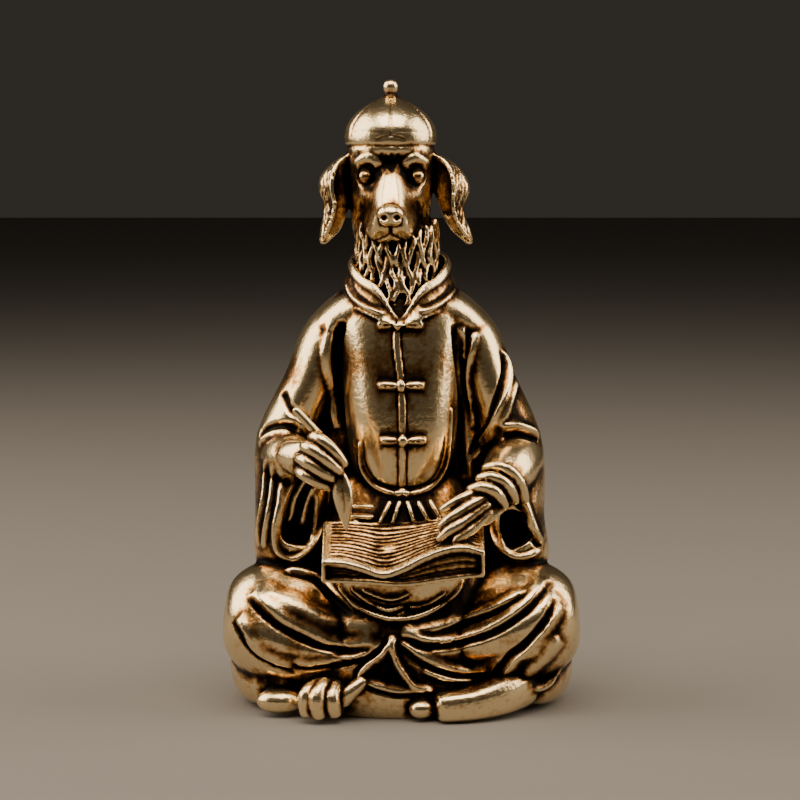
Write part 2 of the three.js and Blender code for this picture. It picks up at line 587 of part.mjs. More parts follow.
function figure() {
  const { cloth, mouths } = sleeves();
  const dressed = join([...trunk(), ...cloth, ...legs()]).subtract(join(mouths));
  const whole = wasm.Manifold.union([
    dressed,
    join(laidOn(dressed, [...SLEEVE_FOLDS, ...FASTENINGS, ...LEG_FOLDS, ...BACK_FOLDS])),
    head(),
    join([cap(), neck(), collar(), ...EARS.map(ear)]),
    join([...brushHand(), ...restingHand()]),
    book(),
    join([...frontFlap(), ...lowerFront()]),
  ]);
  const under = 4 * KNEE; // plan size of the block below the figure
  const floor = moved(new THREE.BoxGeometry(under, under, SOLE_CUT), (p) => p.setZ(p.z - SOLE_CUT / 2));
  const shells = whole.subtract(solid(floor)).decompose();
  return shells.reduce((a, b) => (a.volume() > b.volume() ? a : b)); // the outer one: a casting without voids
}

// Triangles of an index that keep three different corners.
function wholeFaces(corners) {
  const whole = [];
  for (let i = 0; i < corners.length; i += 3) {
    const [a, b, c] = corners.slice(i, i + 3);
    if (a !== b && b !== c && c !== a) whole.push(a, b, c);
  }
  return new Uint32Array(whole);
}

// Draws points that share a place a little apart, each into its own side, so that sheets don't touch.
function parted(geometry) {
  const apart = 0.02;
  geometry.computeVertexNormals();
  const position = geometry.getAttribute("position");
  const normal = geometry.getAttribute("normal");
  const read = (attribute, i) => new THREE.Vector3().fromBufferAttribute(attribute, i);
  const places = [...Array(position.count).keys()].map((i) => read(position, i));
  const name = (p) => p.toArray().map((v) => v.toFixed(3)).join();
  const crowd = new Map();
  places.forEach((p) => crowd.set(name(p), (crowd.get(name(p)) ?? 0) + 1));
  places.forEach((p, i) => {
    if (crowd.get(name(p)) > 1) p.addScaledVector(read(normal, i), -apart);
    position.setXYZ(i, p.x, p.y, p.z);
  });
  return geometry;
}

// Fewer triangles with the same form.
function lightened(geometry, faces) {
  const merged = mergeVertices(geometry, JOINED);
  const points = merged.getAttribute("position");
  const [kept] = MeshoptSimplifier.simplify(wholeFaces(merged.index.array), points.array, 3, 3 * faces, 1);
  const light = new THREE.BufferGeometry();
  light.setAttribute("position", points);
  light.setIndex(new THREE.BufferAttribute(kept, 1));
  return parted(geometryOf(solid(light)));
}

// The finished solid, centred on the origin in plan.
function centred(geometry) {
  geometry.computeBoundingBox();
  const { min, max } = geometry.boundingBox;
  geometry.translate(-(min.x + max.x) / 2, -(min.y + max.y) / 2, -min.z);
  geometry.computeVertexNormals();
  return geometry;
}

const brass = new THREE.MeshStandardMaterial({ color: 0xa8834a, metalness: 1, roughness: 0.35 });
const casting = new THREE.Mesh(centred(lightened(geometryOf(figure()), FACES)), brass);
casting.name = "dog_figure";

const group = new THREE.Group();
group.add(casting);
export default group;
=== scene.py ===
# A small cast brass dog in a skullcap and buttoned jacket, sitting cross-legged with a brush and an open book.
# The figure is modelled in millimetres, facing -Y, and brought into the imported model's frame at the end.
import math

import bmesh
import bpy
import numpy as np
from mathutils import Euler, Matrix, Vector
from mathutils.bvhtree import BVHTree


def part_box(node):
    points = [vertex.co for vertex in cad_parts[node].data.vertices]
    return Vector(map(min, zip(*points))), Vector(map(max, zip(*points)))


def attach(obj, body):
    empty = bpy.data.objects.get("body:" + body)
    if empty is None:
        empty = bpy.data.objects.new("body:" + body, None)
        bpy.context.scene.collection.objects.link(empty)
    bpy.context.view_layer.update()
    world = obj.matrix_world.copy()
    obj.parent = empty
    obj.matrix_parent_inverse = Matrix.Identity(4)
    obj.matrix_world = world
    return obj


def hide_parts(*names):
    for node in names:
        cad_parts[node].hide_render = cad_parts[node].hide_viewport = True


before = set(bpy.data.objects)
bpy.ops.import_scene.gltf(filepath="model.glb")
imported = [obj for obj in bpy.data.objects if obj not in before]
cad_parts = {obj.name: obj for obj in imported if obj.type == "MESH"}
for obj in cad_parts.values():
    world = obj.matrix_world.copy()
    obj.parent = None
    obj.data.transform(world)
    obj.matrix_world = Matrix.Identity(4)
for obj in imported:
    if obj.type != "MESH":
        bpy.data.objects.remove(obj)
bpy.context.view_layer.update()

millimetre = 0.001
front = (0, -1, 0)
upright = (0, 0, 1)
chance = np.random.default_rng(49)

figure = {
    "height": 49.0,
    "knee": 13.9,                # middle of the figure to the outside of a knee
    "head": (-0.85, 0.3, 41.4),  # on the skull's axis at the eyes
    "brim": 43.9,                # underside of the cap
    "bodyVoxel": 0.16,           # grid the body is first joined on
    "skullVoxel": 0.14,          # grids of the head, before and after the muzzle is pushed forward
    "faceVoxel": 0.1,
    "fineVoxel": 0.115,          # grid of the whole figure
    "faces": 190000,             # triangles of the finished piece
}


# Curves and lists

def along(values, t):  # value of an evenly spaced list at t from 0 to 1, on a smooth curve through it
    if isinstance(values, (int, float)):
        return values
    at = min(max(t, 0), 1) * (len(values) - 1)
    i = min(int(at), len(values) - 2)
    f = at - i
    a, b, c, d = (np.asarray(values[min(max(k, 0), len(values) - 1)], float) for k in (i - 1, i, i + 1, i + 2))
    return b + 0.5 * f * (c - a + f * (2 * a - 5 * b + 4 * c - d + f * (3 * (b - c) + d - a)))


def smoothLine(points, spacing=0.35):  # closely spaced points on a smooth curve through the given ones
    points = np.asarray(points, float)
    length = np.linalg.norm(np.diff(points, axis=0), axis=1).sum()
    steps = max(4, int(length / spacing) + 1)
    return np.array([along(points, k / steps) for k in range(steps + 1)])


def onHead(p):
    return tuple(a + b for a, b in zip(p, figure["head"]))


# Forms

def limb(bm, path, wide, deep=None, up=upright, sides=20, rows=20, blunt=4, square=1, flute=None):
    # a rounded body along a smooth path: wide is its half-width across, deep its half-size towards up,
    # blunt is low for pointed ends, and square below 1 fills out the corners of its section
    deep = wide if deep is None else deep
    points = bmesh.ops.create_uvsphere(bm, u_segments=sides, v_segments=rows, radius=1)["verts"]
    crowd = 0.85  # how much closer the rings stand near the ends
    nearby = 0.01
    path = np.asarray(path, float)
    for v in points:
        u = math.acos(min(max(v.co.z, -1), 1)) / math.pi
        t = u - crowd * math.sin(2 * math.pi * u) / (2 * math.pi)
        swell = (1 - abs(2 * t - 1) ** blunt) ** (1 / min(blunt, 4))
        angle = math.atan2(v.co.y, v.co.x)
        back = Vector(along(path, t - nearby) - along(path, t + nearby)).normalized()
        high = (Vector(up) - Vector(up).dot(back) * back).normalized()
        side = high.cross(back)
        extra = flute(t, angle) if flute else 0
        across, over = (math.copysign(abs(w) ** square, w) for w in (math.cos(angle), math.sin(angle)))
        v.co = (Vector(along(path, t)) + side * float(across * swell * (along(wide, t) + extra))
                + high * float(over * swell * (along(deep, t) + extra)))
    return points


def blob(bm, at, size, turn=(0, 0, 0)):  # an ellipsoid, turned by degrees about X, Y and Z
    angles = Euler([math.radians(a) for a in turn], "ZYX")
    points = bmesh.ops.create_icosphere(bm, subdivisions=4, radius=1)["verts"]
    bmesh.ops.transform(bm, matrix=Matrix.LocRotScale(Vector(at), angles, Vector(size)), verts=points)
    return points


def turned(bm, profile, steps):  # a closed turned form about Z from (radius, height) points
    before = set(bm.verts)
    ring = [bm.verts.new((r, 0, z)) for r, z in profile]
    edges = [bm.edges.new(pair) for pair in zip(ring, ring[1:])]
    bmesh.ops.spin(bm, geom=ring + edges, axis=upright, cent=(0, 0, 0), angle=2 * math.pi, steps=steps,
                   use_merge=True)
    return [v for v in bm.verts if v not in before]


def made(name, build):  # a mesh object from a function that fills a bmesh
    bm = bmesh.new()
    build(bm)
    bmesh.ops.remove_doubles(bm, verts=bm.verts, dist=1e-4)
    bmesh.ops.recalc_face_normals(bm, faces=bm.faces)
    mesh = bpy.data.meshes.new(name)
    bm.to_mesh(mesh)
    bm.free()
    piece = bpy.data.objects.new(name, mesh)
    bpy.context.collection.objects.link(piece)
    return piece


def settled(piece):  # applies a piece's modifiers to its mesh
    graph = bpy.context.evaluated_depsgraph_get()
    fresh = bpy.data.meshes.new_from_object(piece.evaluated_get(graph))
    piece.modifiers.clear()
    old = piece.data
    piece.data = fresh
    bpy.data.meshes.remove(old)
    return piece


def fused(piece, voxel):  # joins overlapping forms into one skin
    remesh = piece.modifiers.new("fused", "REMESH")
    remesh.mode = "VOXEL"
    remesh.voxel_size = voxel
    remesh.adaptivity = 0
    return settled(piece)


def cutBy(piece, cutter):
    cut = piece.modifiers.new("cut", "BOOLEAN")
    cut.operation = "DIFFERENCE"
    cut.solver = "EXACT"
    cut.object = cutter
    settled(piece)
    bpy.data.objects.remove(cutter)
    return piece


def together(name, pieces):  # one object from several
    bm = bmesh.new()
    for piece in pieces:
        bm.from_mesh(piece.data)
        bpy.data.objects.remove(piece)
    mesh = bpy.data.meshes.new(name)
    bm.to_mesh(mesh)
    bm.free()
    whole = bpy.data.objects.new(name, mesh)
    bpy.context.collection.objects.link(whole)
    return whole


# Clay: a piece's points as arrays, so that folds and hair can be pressed into it

def takeClay(piece):
    mesh = piece.data
    count = len(mesh.vertices)
    places = np.empty(3 * count)
    mesh.vertices.foreach_get("co", places)
    normals = np.empty(3 * count)
    mesh.vertex_normals.foreach_get("vector", normals)
    ends = np.empty(2 * len(mesh.edges), int)
    mesh.edges.foreach_get("vertices", ends)
    bm = bmesh.new()
    bm.from_mesh(mesh)
    tree = BVHTree.FromBMesh(bm)
    bm.free()
    return {
        "piece": piece,
        "places": places.reshape(-1, 3),
        "normals": normals.reshape(-1, 3),
        "ends": ends.reshape(-1, 2),
        "tree": tree,
    }


def giveClay(clay):  # writes the points back to the piece
    clay["piece"].data.vertices.foreach_set("co", clay["places"].ravel())
    clay["piece"].data.update()
    return clay["piece"]


def averaged(clay, values):  # mean of each point's neighbours
    a, b = clay["ends"].T
    count = len(values)
    share = np.bincount(a, minlength=count) + np.bincount(b, minlength=count)
    sums = [
        np.bincount(a, values[b, k], count) + np.bincount(b, values[a, k], count) for k in range(values.shape[1])
    ]
    return np.stack(sums, axis=1) / np.maximum(share, 1)[:, None]


def relax(clay, rounds, amount=0.5, where=None):  # softens the clay without shrinking it
    for _ in range(rounds):
        for step in (amount, -amount * 1.04):
            pull = (averaged(clay, clay["places"]) - clay["places"]) * step
            clay["places"] += pull if where is None else pull * where[:, None]


def landed(clay, line, side=-1):
    # lays a line of (x, z) points on the front of the clay, or with side 1 on its back; (x, y, z) points stay put
    points = smoothLine(line)
    if points.shape[1] == 3:
        return points
    outside = 40  # well clear of the figure
    laid = []
    for x, z in points:
        hit, *_ = clay["tree"].ray_cast(Vector((x, side * outside, z)), Vector((0, -side, 0)))
        laid.append((x, hit.y if hit else np.nan, z))
    laid = np.array(laid)
    known = ~np.isnan(laid[:, 1])
    laid[:, 1] = np.interp(np.arange(len(laid)), np.flatnonzero(known), laid[known, 1])
    for _ in range(2):
        laid[1:-1, 1] = (laid[:-2, 1] + 2 * laid[1:-1, 1] + laid[2:, 1]) / 4
    return laid


def bump(s):
    return np.clip(1 - s * s, 0, None) ** 2


profiles = {  # height across a line, by distance from it in widths, positive on its right hand
    "ridge": bump,
    "cord": lambda s: np.sqrt(np.clip(1 - s * s, 0, None)),
    "sharp": lambda s: np.clip(1 - np.abs(s), 0, None) ** 1.5,
    "fold": lambda s: np.where(s > 0, bump(s / 0.5), bump(s / 1.7)) - 0.7 * bump((s - 0.75) / 0.55),
}


def press(clay, line, wide, high, shape="ridge", side=-1, fade=(0.25, 0.25), facing=True):
    # raises the clay along a line, or sinks it with high below 0; fade is the share of the line that each end takes
    # to run out, and facing leaves out what is turned away from this side of the figure
    reach = 2.0
    turnedAway = -0.35
    path = landed(clay, line, side)
    low, top = path.min(0) - reach * wide, path.max(0) + reach * wide
    near = np.flatnonzero(np.all((clay["places"] > low) & (clay["places"] < top), axis=1))
    if not len(near):
        return
    points = clay["places"][near]
    best = np.full(len(near), 1e9)
    when = np.zeros(len(near))
    signed = np.zeros(len(near))
    for i in range(len(path) - 1):
        run = path[i + 1] - path[i]
        u = np.clip((points - path[i]) @ run / max(run @ run, 1e-9), 0, 1)
        away = points - path[i] - u[:, None] * run
        gap = np.linalg.norm(away, axis=1)
        closer = gap < best
        best[closer] = gap[closer]
        when[closer] = (i + u[closer]) / (len(path) - 1)
        turn = -side * (run[0] * away[:, 2] - run[2] * away[:, 0])
        signed[closer] = np.where(turn[closer] > 0, -1, 1)
    rise = np.clip(when / max(fade[0], 1e-3), 0, 1) * np.clip((1 - when) / max(fade[1], 1e-3), 0, 1)
    rise = rise * (2 - rise)
    lift = high * rise * profiles[shape](signed * best / wide)
    if facing:
        lift = lift * (clay["normals"][near] @ np.array([0, side, 0]) > turnedAway)
    clay["places"][near] += clay["normals"][near] * lift[:, None]


# Body

def trunk(bm):
    limb(bm, [(-6.8, 0.9, 29.0), (-3.6, 0.4, 30.7), (0, 0.2, 31.0), (3.6, 0.4, 30.7), (6.6, 0.9, 29.0)],
         wide=[1.4, 2.0, 2.1, 2.0, 1.4], deep=[2.9, 3.2, 3.6, 3.2, 2.9], up=front, sides=32, rows=32)  # shoulders
    limb(bm, [(-0.1, 0.9, 33.2), (-0.05, 0.8, 30.6), (0, 0.6, 26.6), (0, 0.5, 21.6), (0, 0.5, 15.8)],
         wide=[4.0, 5.3, 4.9, 4.65, 4.3], deep=[3.4, 4.5, 5.1, 5.7, 5.7], up=front, square=0.75, sides=40, rows=32)
    limb(bm, [(-0.1, 1.2, 33.9), (0, 1.9, 28.5), (0, 2.4, 21), (0, 2.4, 14), (0, 2.2, 8)],
         wide=[4.6, 6.6, 8.6, 9.4, 9.4], deep=[3.0, 3.8, 4.4, 4.8, 5.4], up=front, square=0.85, sides=40, rows=32)
    limb(bm, [(0, 0.8, 19), (0, 0.2, 14.5), (0, -0.6, 11), (0, -0.4, 7), (0, 0.2, 3), (0, 0.6, -1)],
         wide=[5.4, 6.6, 7.6, 9.0, 10.6, 11.4], deep=[4.8, 5.6, 7.2, 8.8, 9.4, 9.2], up=front, blunt=7,
         sides=40, rows=32)


def sleeves(bm):
    hanging = {"up": front, "blunt": 6, "sides": 32, "rows": 36}
    limb(bm, [(-3.4, 1.2, 32.3), (-5.8, 0.9, 28.8), (-7.2, 0.5, 25.2), (-9.1, 0.1, 20.6), (-8.6, -0.9, 17.4),
              (-8.9, -1.8, 14.4), (-9.2, -2.4, 10.6)],
         wide=[1.4, 2.1, 2.1, 2.45, 3.0, 2.75, 3.0], deep=[2.4, 3.1, 3.2, 3.4, 3.8, 3.8, 3.4], **hanging)
    limb(bm, [(-9.4, 0, 19.4), (-8.8, -3.2, 19.6), (-7.3, -6.0, 19.6)], wide=[2.2, 2.0, 1.5])
    limb(bm, [(3.2, 1.2, 32.3), (5.7, 0.9, 28.8), (6.9, 0.5, 25.3), (8.7, 0.1, 20.6), (8.9, -0.9, 17.2),
              (9.0, -1.8, 14.2), (9.6, -2.4, 10.6)],
         wide=[1.4, 2.05, 2.1, 2.4, 2.45, 2.35, 2.8], deep=[2.4, 3.1, 3.2, 3.4, 3.8, 3.8, 3.4], **hanging)
    limb(bm, [(9.4, 0, 19.6), (8.4, -3.6, 18.6), (6.8, -6.6, 17.0)], wide=[2.3, 2.1, 1.5])


def sleeveMouths(bm):
    limb(bm, [(-7.2, -6.8, 18.6), (-7.5, -6.0, 15.8), (-8.3, -5.6, 12.9)], wide=[1.3, 1.65, 1.3], deep=2.5, up=front)
    limb(bm, [(8.3, -6.2, 15.4), (8.7, -5.9, 14.2), (9.4, -5.6, 12.9)], wide=[0.8, 1.3, 1.1], deep=2.3, up=front)


def legs(bm):
    knee = figure["knee"]
    for s in (-1, 1):
        limb(bm, [(s * x, y, z) for x, y, z in (
            (1.0, -1.0, 4.6), (5.0, -1.8, 5.2), (knee - 4.9, -3.2, 6.4), (knee - 2.6, -4.0, 7.0), (knee, -4.2, 7.3))],
            wide=[6.8, 6.6, 5.5, 5.0, 4.4], deep=[3.4, 4.4, 5.1, 4.9, 4.4], blunt=2.6, sides=32, rows=32)
        limb(bm, [(s * x, y, z) for x, y, z in (
            (knee - 5.5, -6.4, 2.5), (knee - 2.9, -4.4, 3.0), (knee - 2.6, 0, 3.2), (5.5, 6.6, 3.4))],
            wide=[1.4, 1.7, 2.1, 3.2], deep=[2.0, 2.8, 3.1, 3.4])


def frontFlap(bm):
    blob(bm, (-0.1, -6.6, 10.8), (5.1, 2.5, 3.0))


def flapLines(clay):  # thin piping along the flap's edge and the V of the robe's two sides on it
    edge = [(-4.9, 10.1), (-3.5, 8.75), (-1.8, 8.05), (-0.3, 7.85), (1.4, 8.1), (3.3, 8.95), (4.7, 10.2)]
    press(clay, edge, 0.22, 0.22, "cord", fade=(0.1, 0.1))
    for line in ([(-3.9, 10.2), (-2.3, 9.0), (-1.0, 8.5), (0.2, 8.9)], [(-3.0, 10.1), (-0.9, 9.4), (0.6, 9.9)],
                 [(3.4, 9.9), (2.0, 9.0), (0.6, 8.7)]):
        press(clay, line, 0.2, 0.18, "ridge", fade=(0.1, 0.1))
        press(clay, [(x, z - 0.32) for x, z in line], 0.16, -0.14, "ridge", fade=(0.1, 0.1))


def lowerFront(bm):
    blob(bm, (-5.9, -8.7, 1.7), (1.8, 1.4, 1.6))  # paw
    for toe in (((-6.2, -8.8, 3.0), (-7.25, -9.8, 2.2), (-7.2, -9.7, 0.5)),
                ((-5.7, -9.0, 3.25), (-6.45, -10.2, 2.1), (-6.2, -10.0, 0.4)),
                ((-4.9, -8.8, 3.0), (-5.3, -10.0, 2.0), (-5.0, -9.8, 0.5))):
        limb(bm, toe, wide=[0.5, 0.62, 0.58], up=(1, 0, 0))
    limb(bm, [(-4.7, -9.0, 1.5), (-3.9, -9.2, 2.3), (-2.8, -8.8, 3.2)], wide=[0.8, 0.6, 0.5])
    limb(bm, [(9.6, -5.6, 2.4), (7.4, -7.7, 1.7), (5.2, -8.9, 1.3), (2.6, -9.5, 1.15)],
         wide=[1.7, 1.5, 1.3, 1.2], deep=[1.8, 1.5, 1.25, 1.15], blunt=9, square=0.7)
    blob(bm, (1.5, -9.1, 0.95), (0.95, 0.8, 0.75))
    blob(bm, (-9.3, -7.3, 1.2), (1.9, 1.2, 1.0))


def dressFolds(clay):
    sleeveFolds = [
        ([(-5.4, 30.2), (-5.9, 27.4), (-5.4, 23.6), (-5.2, 21.6)], 0.6, 0.4, "ridge"),
        ([(-4.6, 30.2), (-4.9, 28.1), (-4.8, 24.9), (-4.4, 21.1)], 0.55, -0.5, "ridge"),
        ([(4.1, 30.0), (4.5, 25.7), (4.7, 21.1), (4.9, 17.9)], 0.55, -0.5, "ridge"),
        ([(4.6, 29.8), (5.1, 26.9)], 0.45, 0.4, "ridge"),
        ([(5.8, 29.3), (5.3, 26.1), (5.5, 24.1), (5.7, 21.6)], 0.45, 0.4, "ridge"),
        ([(8.0, 27.8), (8.3, 25.8), (7.4, 23.0), (6.5, 20.9), (5.7, 19.2)], 0.6, 0.5, "fold"),
        ([(7.7, 21.8), (8.6, 24.4), (9.0, 25.4)], 0.5, 0.4, "ridge"),
        ([(-9.3, 24.6), (-8.7, 23.4), (-7.2, 22.4)], 0.5, -0.4, "ridge"),
        ([(-11.2, 21.1), (-10.4, 21.9), (-9.1, 22.1), (-8.1, 21.7)], 0.45, -0.4, "ridge"),
        ([(-11.2, 20.5), (-9.9, 21.4), (-8.6, 21.5)], 0.5, 0.4, "ridge"),
        ([(7.7, 21.9), (8.8, 22.1), (10.0, 21.7), (10.8, 21.1)], 0.5, 0.4, "ridge"),
        ([(7.9, 21.2), (9.2, 21.4), (10.7, 20.8)], 0.4, -0.4, "ridge"),
        ([(-10.6, 19.6), (-10.6, 17.1), (-11.0, 14.8), (-11.2, 12.6)], 0.45, 0.35, "ridge"),
        ([(-10.0, 19.3), (-10.0, 17.1), (-10.4, 14.8), (-10.8, 12.6)], 0.4, 0.35, "ridge"),
        ([(-9.3, 19.0), (-9.4, 16.5), (-9.8, 14.2), (-9.6, 12.6), (-8.6, 12.0), (-7.4, 12.5), (-6.4, 14.0),
          (-5.9, 16.0), (-5.6, 18.0)], 0.4, 0.4, "ridge"),
        ([(-6.4, 18.2), (-7.4, 16.4), (-8.0, 14.2)], 0.4, 0.35, "fold"),
        ([(-7.4, 18.3), (-8.4, 16.6), (-8.8, 14.6)], 0.35, 0.3, "fold"),
        ([(6.9, 14.4), (7.5, 13.1), (8.4, 12.3), (9.3, 12.1), (10.3, 12.4), (11.0, 12.8)], 0.4, 0.4, "ridge"),
        ([(6.5, 18.4), (8.0, 18.8), (8.9, 17.7), (9.6, 15.7), (10.3, 13.8), (11.0, 12.8)], 0.5, 0.5, "fold"),
    ]
    legFolds = [
        ([(-11.6, 9.8), (-8.6, 8.7), (-5.6, 7.4), (-1.6, 6.9)], 1.6, 0.4, "ridge"),
        ([(-12.6, 7.8), (-10.2, 6.0), (-7.0, 5.0), (-2.6, 5.2)], 1.3, 0.35, "ridge"),
        ([(12.2, 9.4), (9.6, 7.3), (6.0, 5.8), (1.2, 5.6)], 1.5, 0.4, "ridge"),
        ([(12.1, 6.4), (10.2, 4.2), (8.4, 2.2)], 1.2, 0.4, "ridge"),
        ([(-9.0, 11.2), (-6.4, 10.4), (-3.4, 8.3)], 0.7, 0.3, "fold"),
        ([(-11.6, 9.6), (-10.4, 8.6), (-8.9, 7.5), (-7.0, 6.5), (-5.5, 5.9), (-3.6, 5.7), (-2.0, 6.2)],
         0.65, 0.42, "fold"),
        ([(-12.6, 7.8), (-12.1, 6.9), (-11.2, 5.5), (-9.7, 4.5), (-8.0, 3.9)], 0.65, 0.45, "fold"),
        ([(-8.4, 4.4), (-7.2, 4.2), (-5.5, 4.4), (-3.3, 4.9), (-1.4, 6.0)], 0.5, 0.38, "fold"),
        ([(0.0, 6.9), (0.8, 6.6), (2.2, 6.1), (4.1, 6.1), (6.4, 6.8), (8.3, 7.9), (9.8, 9.1), (11.1, 10.6)],
         0.65, 0.42, "fold"),
        ([(1.2, 7.0), (3.0, 7.1), (5.2, 7.8), (7.5, 8.7), (9.6, 9.9)], 0.5, 0.25, "fold"),
        ([(-0.2, 6.4), (1.4, 5.0), (2.9, 4.2), (4.8, 3.6), (6.6, 3.6)], 0.5, 0.35, "fold"),
        ([(1.6, 3.9), (3.4, 3.1), (5.4, 2.9)], 0.4, 0.25, "fold"),
        ([(12.0, 9.0), (11.1, 7.5), (9.8, 5.7), (8.7, 4.7), (7.8, 3.4), (7.2, 2.2)], 0.65, 0.45, "fold"),
        ([(9.2, 2.7), (10.2, 2.1), (11.3, 2.3), (12.4, 3.6)], 0.45, 0.4, "ridge"),
        ([(-0.7, 6.6), (-1.3, 5.6), (-2.8, 4.2), (-3.2, 3.3), (-2.0, 2.7), (-0.1, 2.3), (2.2, 2.5)],
         0.45, 0.4, "fold"),
        ([(-0.7, 6.6), (-0.7, 5.5), (-0.1, 4.1), (1.0, 2.7), (2.4, 2.4)], 0.42, 0.4, "ridge"),
    ]
    for line, wide, high, shape in sleeveFolds + legFolds:
        press(clay, line, wide, high, shape)
    backFolds = [
        ([(-1.3, 29.0), (-2.0, 23.5), (-3.6, 17.5), (-5.8, 12.0)], 1.2, 0.4),
        ([(1.6, 29.5), (2.1, 23.0), (3.6, 17.0), (6.0, 11.5)], 1.3, 0.4),
        ([(-4.6, 29.0), (-5.4, 23.5), (-6.5, 18.0), (-7.2, 13.0)], 1.0, 0.42),
        ([(4.8, 28.5), (5.9, 23.0), (6.8, 17.5), (7.3, 12.5)], 1.0, 0.42),
        ([(-3.6, 15.0), (-1.2, 12.8), (1.4, 12.9), (3.8, 15.4)], 0.9, 0.3),
    ]
    for line, wide, high in backFolds:
        press(clay, line, wide, high, "fold", side=1, fade=(0.5, 0.5))


jacket = {
    "toggles": ((-0.1, 30.0), (-0.02, 25.35), (0.15, 21.1)),  # middle of each
    "toggleHalf": 1.75,
    "hem": ((-3.3, 20.8), (-3.15, 18.9), (-2.4, 17.7), (-1.3, 17.1), (0.1, 16.9), (1.8, 17.15), (2.9, 17.9),
            (3.55, 19.2), (3.75, 21.0), (3.9, 23.5)),
    "knot": (0.04, 16.95),
}


def fastenings(clay):
    placket = [(-0.35, 30.0), (-0.35, 28.2), (-0.1, 26.2), (0.05, 23), (0.05, 19.8), (0.05, 17.2)]
    press(clay, placket, 0.3, 0.14, "cord", fade=(0.02, 0.02))
    for s in (-1, 1):
        press(clay, [(x + 0.36 * s, z) for x, z in placket], 0.13, -0.12, fade=(0.02, 0.02))
    for x, z in jacket["toggles"]:
        half = jacket["toggleHalf"]
        for s in (-1, 1):
            press(clay, [(x + s * 0.55, z), (x + s * (half - 0.35), z)], 0.1, -0.16, fade=(0.2, 0.2))
            press(clay, [(x + s * 0.3, z + 0.3), (x + s * 0.3, z - 0.3)], 0.12, -0.16)
    press(clay, [(x * 0.9, z + 0.42) for x, z in jacket["hem"][:-1]], 0.13, -0.12, fade=(0.1, 0.1))
    x, z = jacket["knot"]
    press(clay, [(x, z + 0.3), (x, z - 0.3)], 0.14, -0.22)


def cords(bm, clay):  # toggles, the piping of the hem and its knot, laid on the jacket
    def laidCord(line, wide, deep, lift):
        path = landed(clay, line)
        path[:, 1] -= lift
        limb(bm, path, wide=wide, deep=deep, up=front, sides=12, rows=max(12, 2 * len(path)), blunt=6)
    for x, z in jacket["toggles"]:
        half = jacket["toggleHalf"]
        for s in (-1, 1):
            laidCord([(x + s * 0.1, z), (x + s * half * 0.6, z + 0.04), (x + s * half, z)],
                     [0.24, 0.3, 0.33, 0.28], 0.3, 0.12)
        laidCord([(x - 0.26, z), (x + 0.26, z)], 0.34, 0.36, 0.2)
    laidCord(jacket["hem"], 0.2, 0.2, 0.06)
    x, z = jacket["knot"]
    for s in (-1, 1):
        laidCord([(x, z + 0.02), (x + s * 0.55, z)], 0.3, 0.32, 0.2)


# Head

muzzle = {  # the face stands forward of the skull by these heights, listed by height above the eyes
    "level": (-5.7, -5.2, -4.8, -4.3, -3.7, -3.1, -2.5, -1.9, -1.2, -0.5, 0.2, 0.9, 1.6),
    "stand": (0.0, 1.0, 1.9, 2.6, 2.9, 3.05, 2.9, 2.45, 1.9, 1.3, 0.75, 0.3, 0.0),
    "crown": (0.7, 1.0, 1.25, 1.35, 1.3, 1.05, 0.75, 0.6, 0.5, 0.4, 0.3, 0.3, 0.3),  # half the flat top
    "flank": (0.6, 0.7, 0.75, 0.85, 0.95, 1.2, 1.5, 1.75, 1.8, 1.4, 0.9, 0.8, 0.8),  # width of each slope
}


def skull(bm):
    limb(bm, [onHead(p) for p in ((0, 0.2, 3.8), (0, 0.2, 1.2), (0, 0.3, -1.4), (0, 0.7, -3.6), (0, 0.9, -5.6))],
         wide=[3.45, 3.45, 3.25, 3.1, 2.9], deep=[3.4, 3.35, 3.0, 2.8, 2.4], up=front, square=0.8, sides=64, rows=48,
         blunt=7)


def muzzleForm(clay):  # pushes the face forward from the skull
    x, y, z = (clay["places"] - figure["head"]).T
    stand, crown, flank = (np.interp(z, muzzle["level"], muzzle[k]) for k in ("stand", "crown", "flank"))
    slope = np.clip((np.abs(x) - crown) / flank, 0, 1)
    facing = np.clip(-(y + 0.3) / 1.2, 0, 1)
    clay["places"][:, 1] -= stand * (1 - slope * slope * (3 - 2 * slope)) * facing


def swell(clay, at, size, high):  # an oval swelling, or a dent with high below 0, on the front of the head
    x, y, z = (clay["places"] - figure["head"]).T
    spot = bump(np.minimum(np.hypot((x - at[0]) / size[0], (z - at[1]) / size[1]), 1))
    clay["places"][:, 1] -= high * spot * (y < -1.0)


def onFace(line):
    return [(x + figure["head"][0], z + figure["head"][2]) for x, z in line]


eyes = ((-1, 1.95), (1, 2.1))  # side, and distance from the middle of the face


def faceCarving(clay):
    brow = ((0.85, 0.65), (0.4, 1.25), (-0.2, 1.42), (-0.75, 1.25), (-1.1, 0.75))  # from the middle of an eye
    lowerLid = ((0.7, -0.45), (0.3, -0.8), (-0.3, -0.8), (-0.75, -0.4))
    for s, eye in eyes:
        swell(clay, (eye * s, 0.02), (0.8, 0.7), -0.5)  # eye socket
        swell(clay, (0.95 * s, -4.15), (0.95, 0.9), 0.35)  # flew
        swell(clay, (2.15 * s, -1.55), (0.9, 1.1), 0.38)  # cheek
        press(clay, onFace([((eye + x) * s, z) for x, z in brow]), 0.38, 0.42, "cord", fade=(0.3, 0.3))
        press(clay, onFace([((eye + x) * s, z) for x, z in lowerLid]), 0.24, 0.1)
    swell(clay, (0, 2.1), (4.0, 0.8), 0.45)  # forehead
    swell(clay, (0, 0.9), (0.8, 0.8), -0.25)  # between the brows
    swell(clay, (0, -5.0), (0.9, 0.4), 0.3)  # lower lip


def faceParts(bm):
    blob(bm, onHead((0, -5.4, -2.95)), (1.1, 0.85, 0.88))  # nose leather
    for s, eye in eyes:
        blob(bm, onHead((eye * s, -2.68, 0)), (0.54, 0.5, 0.52))


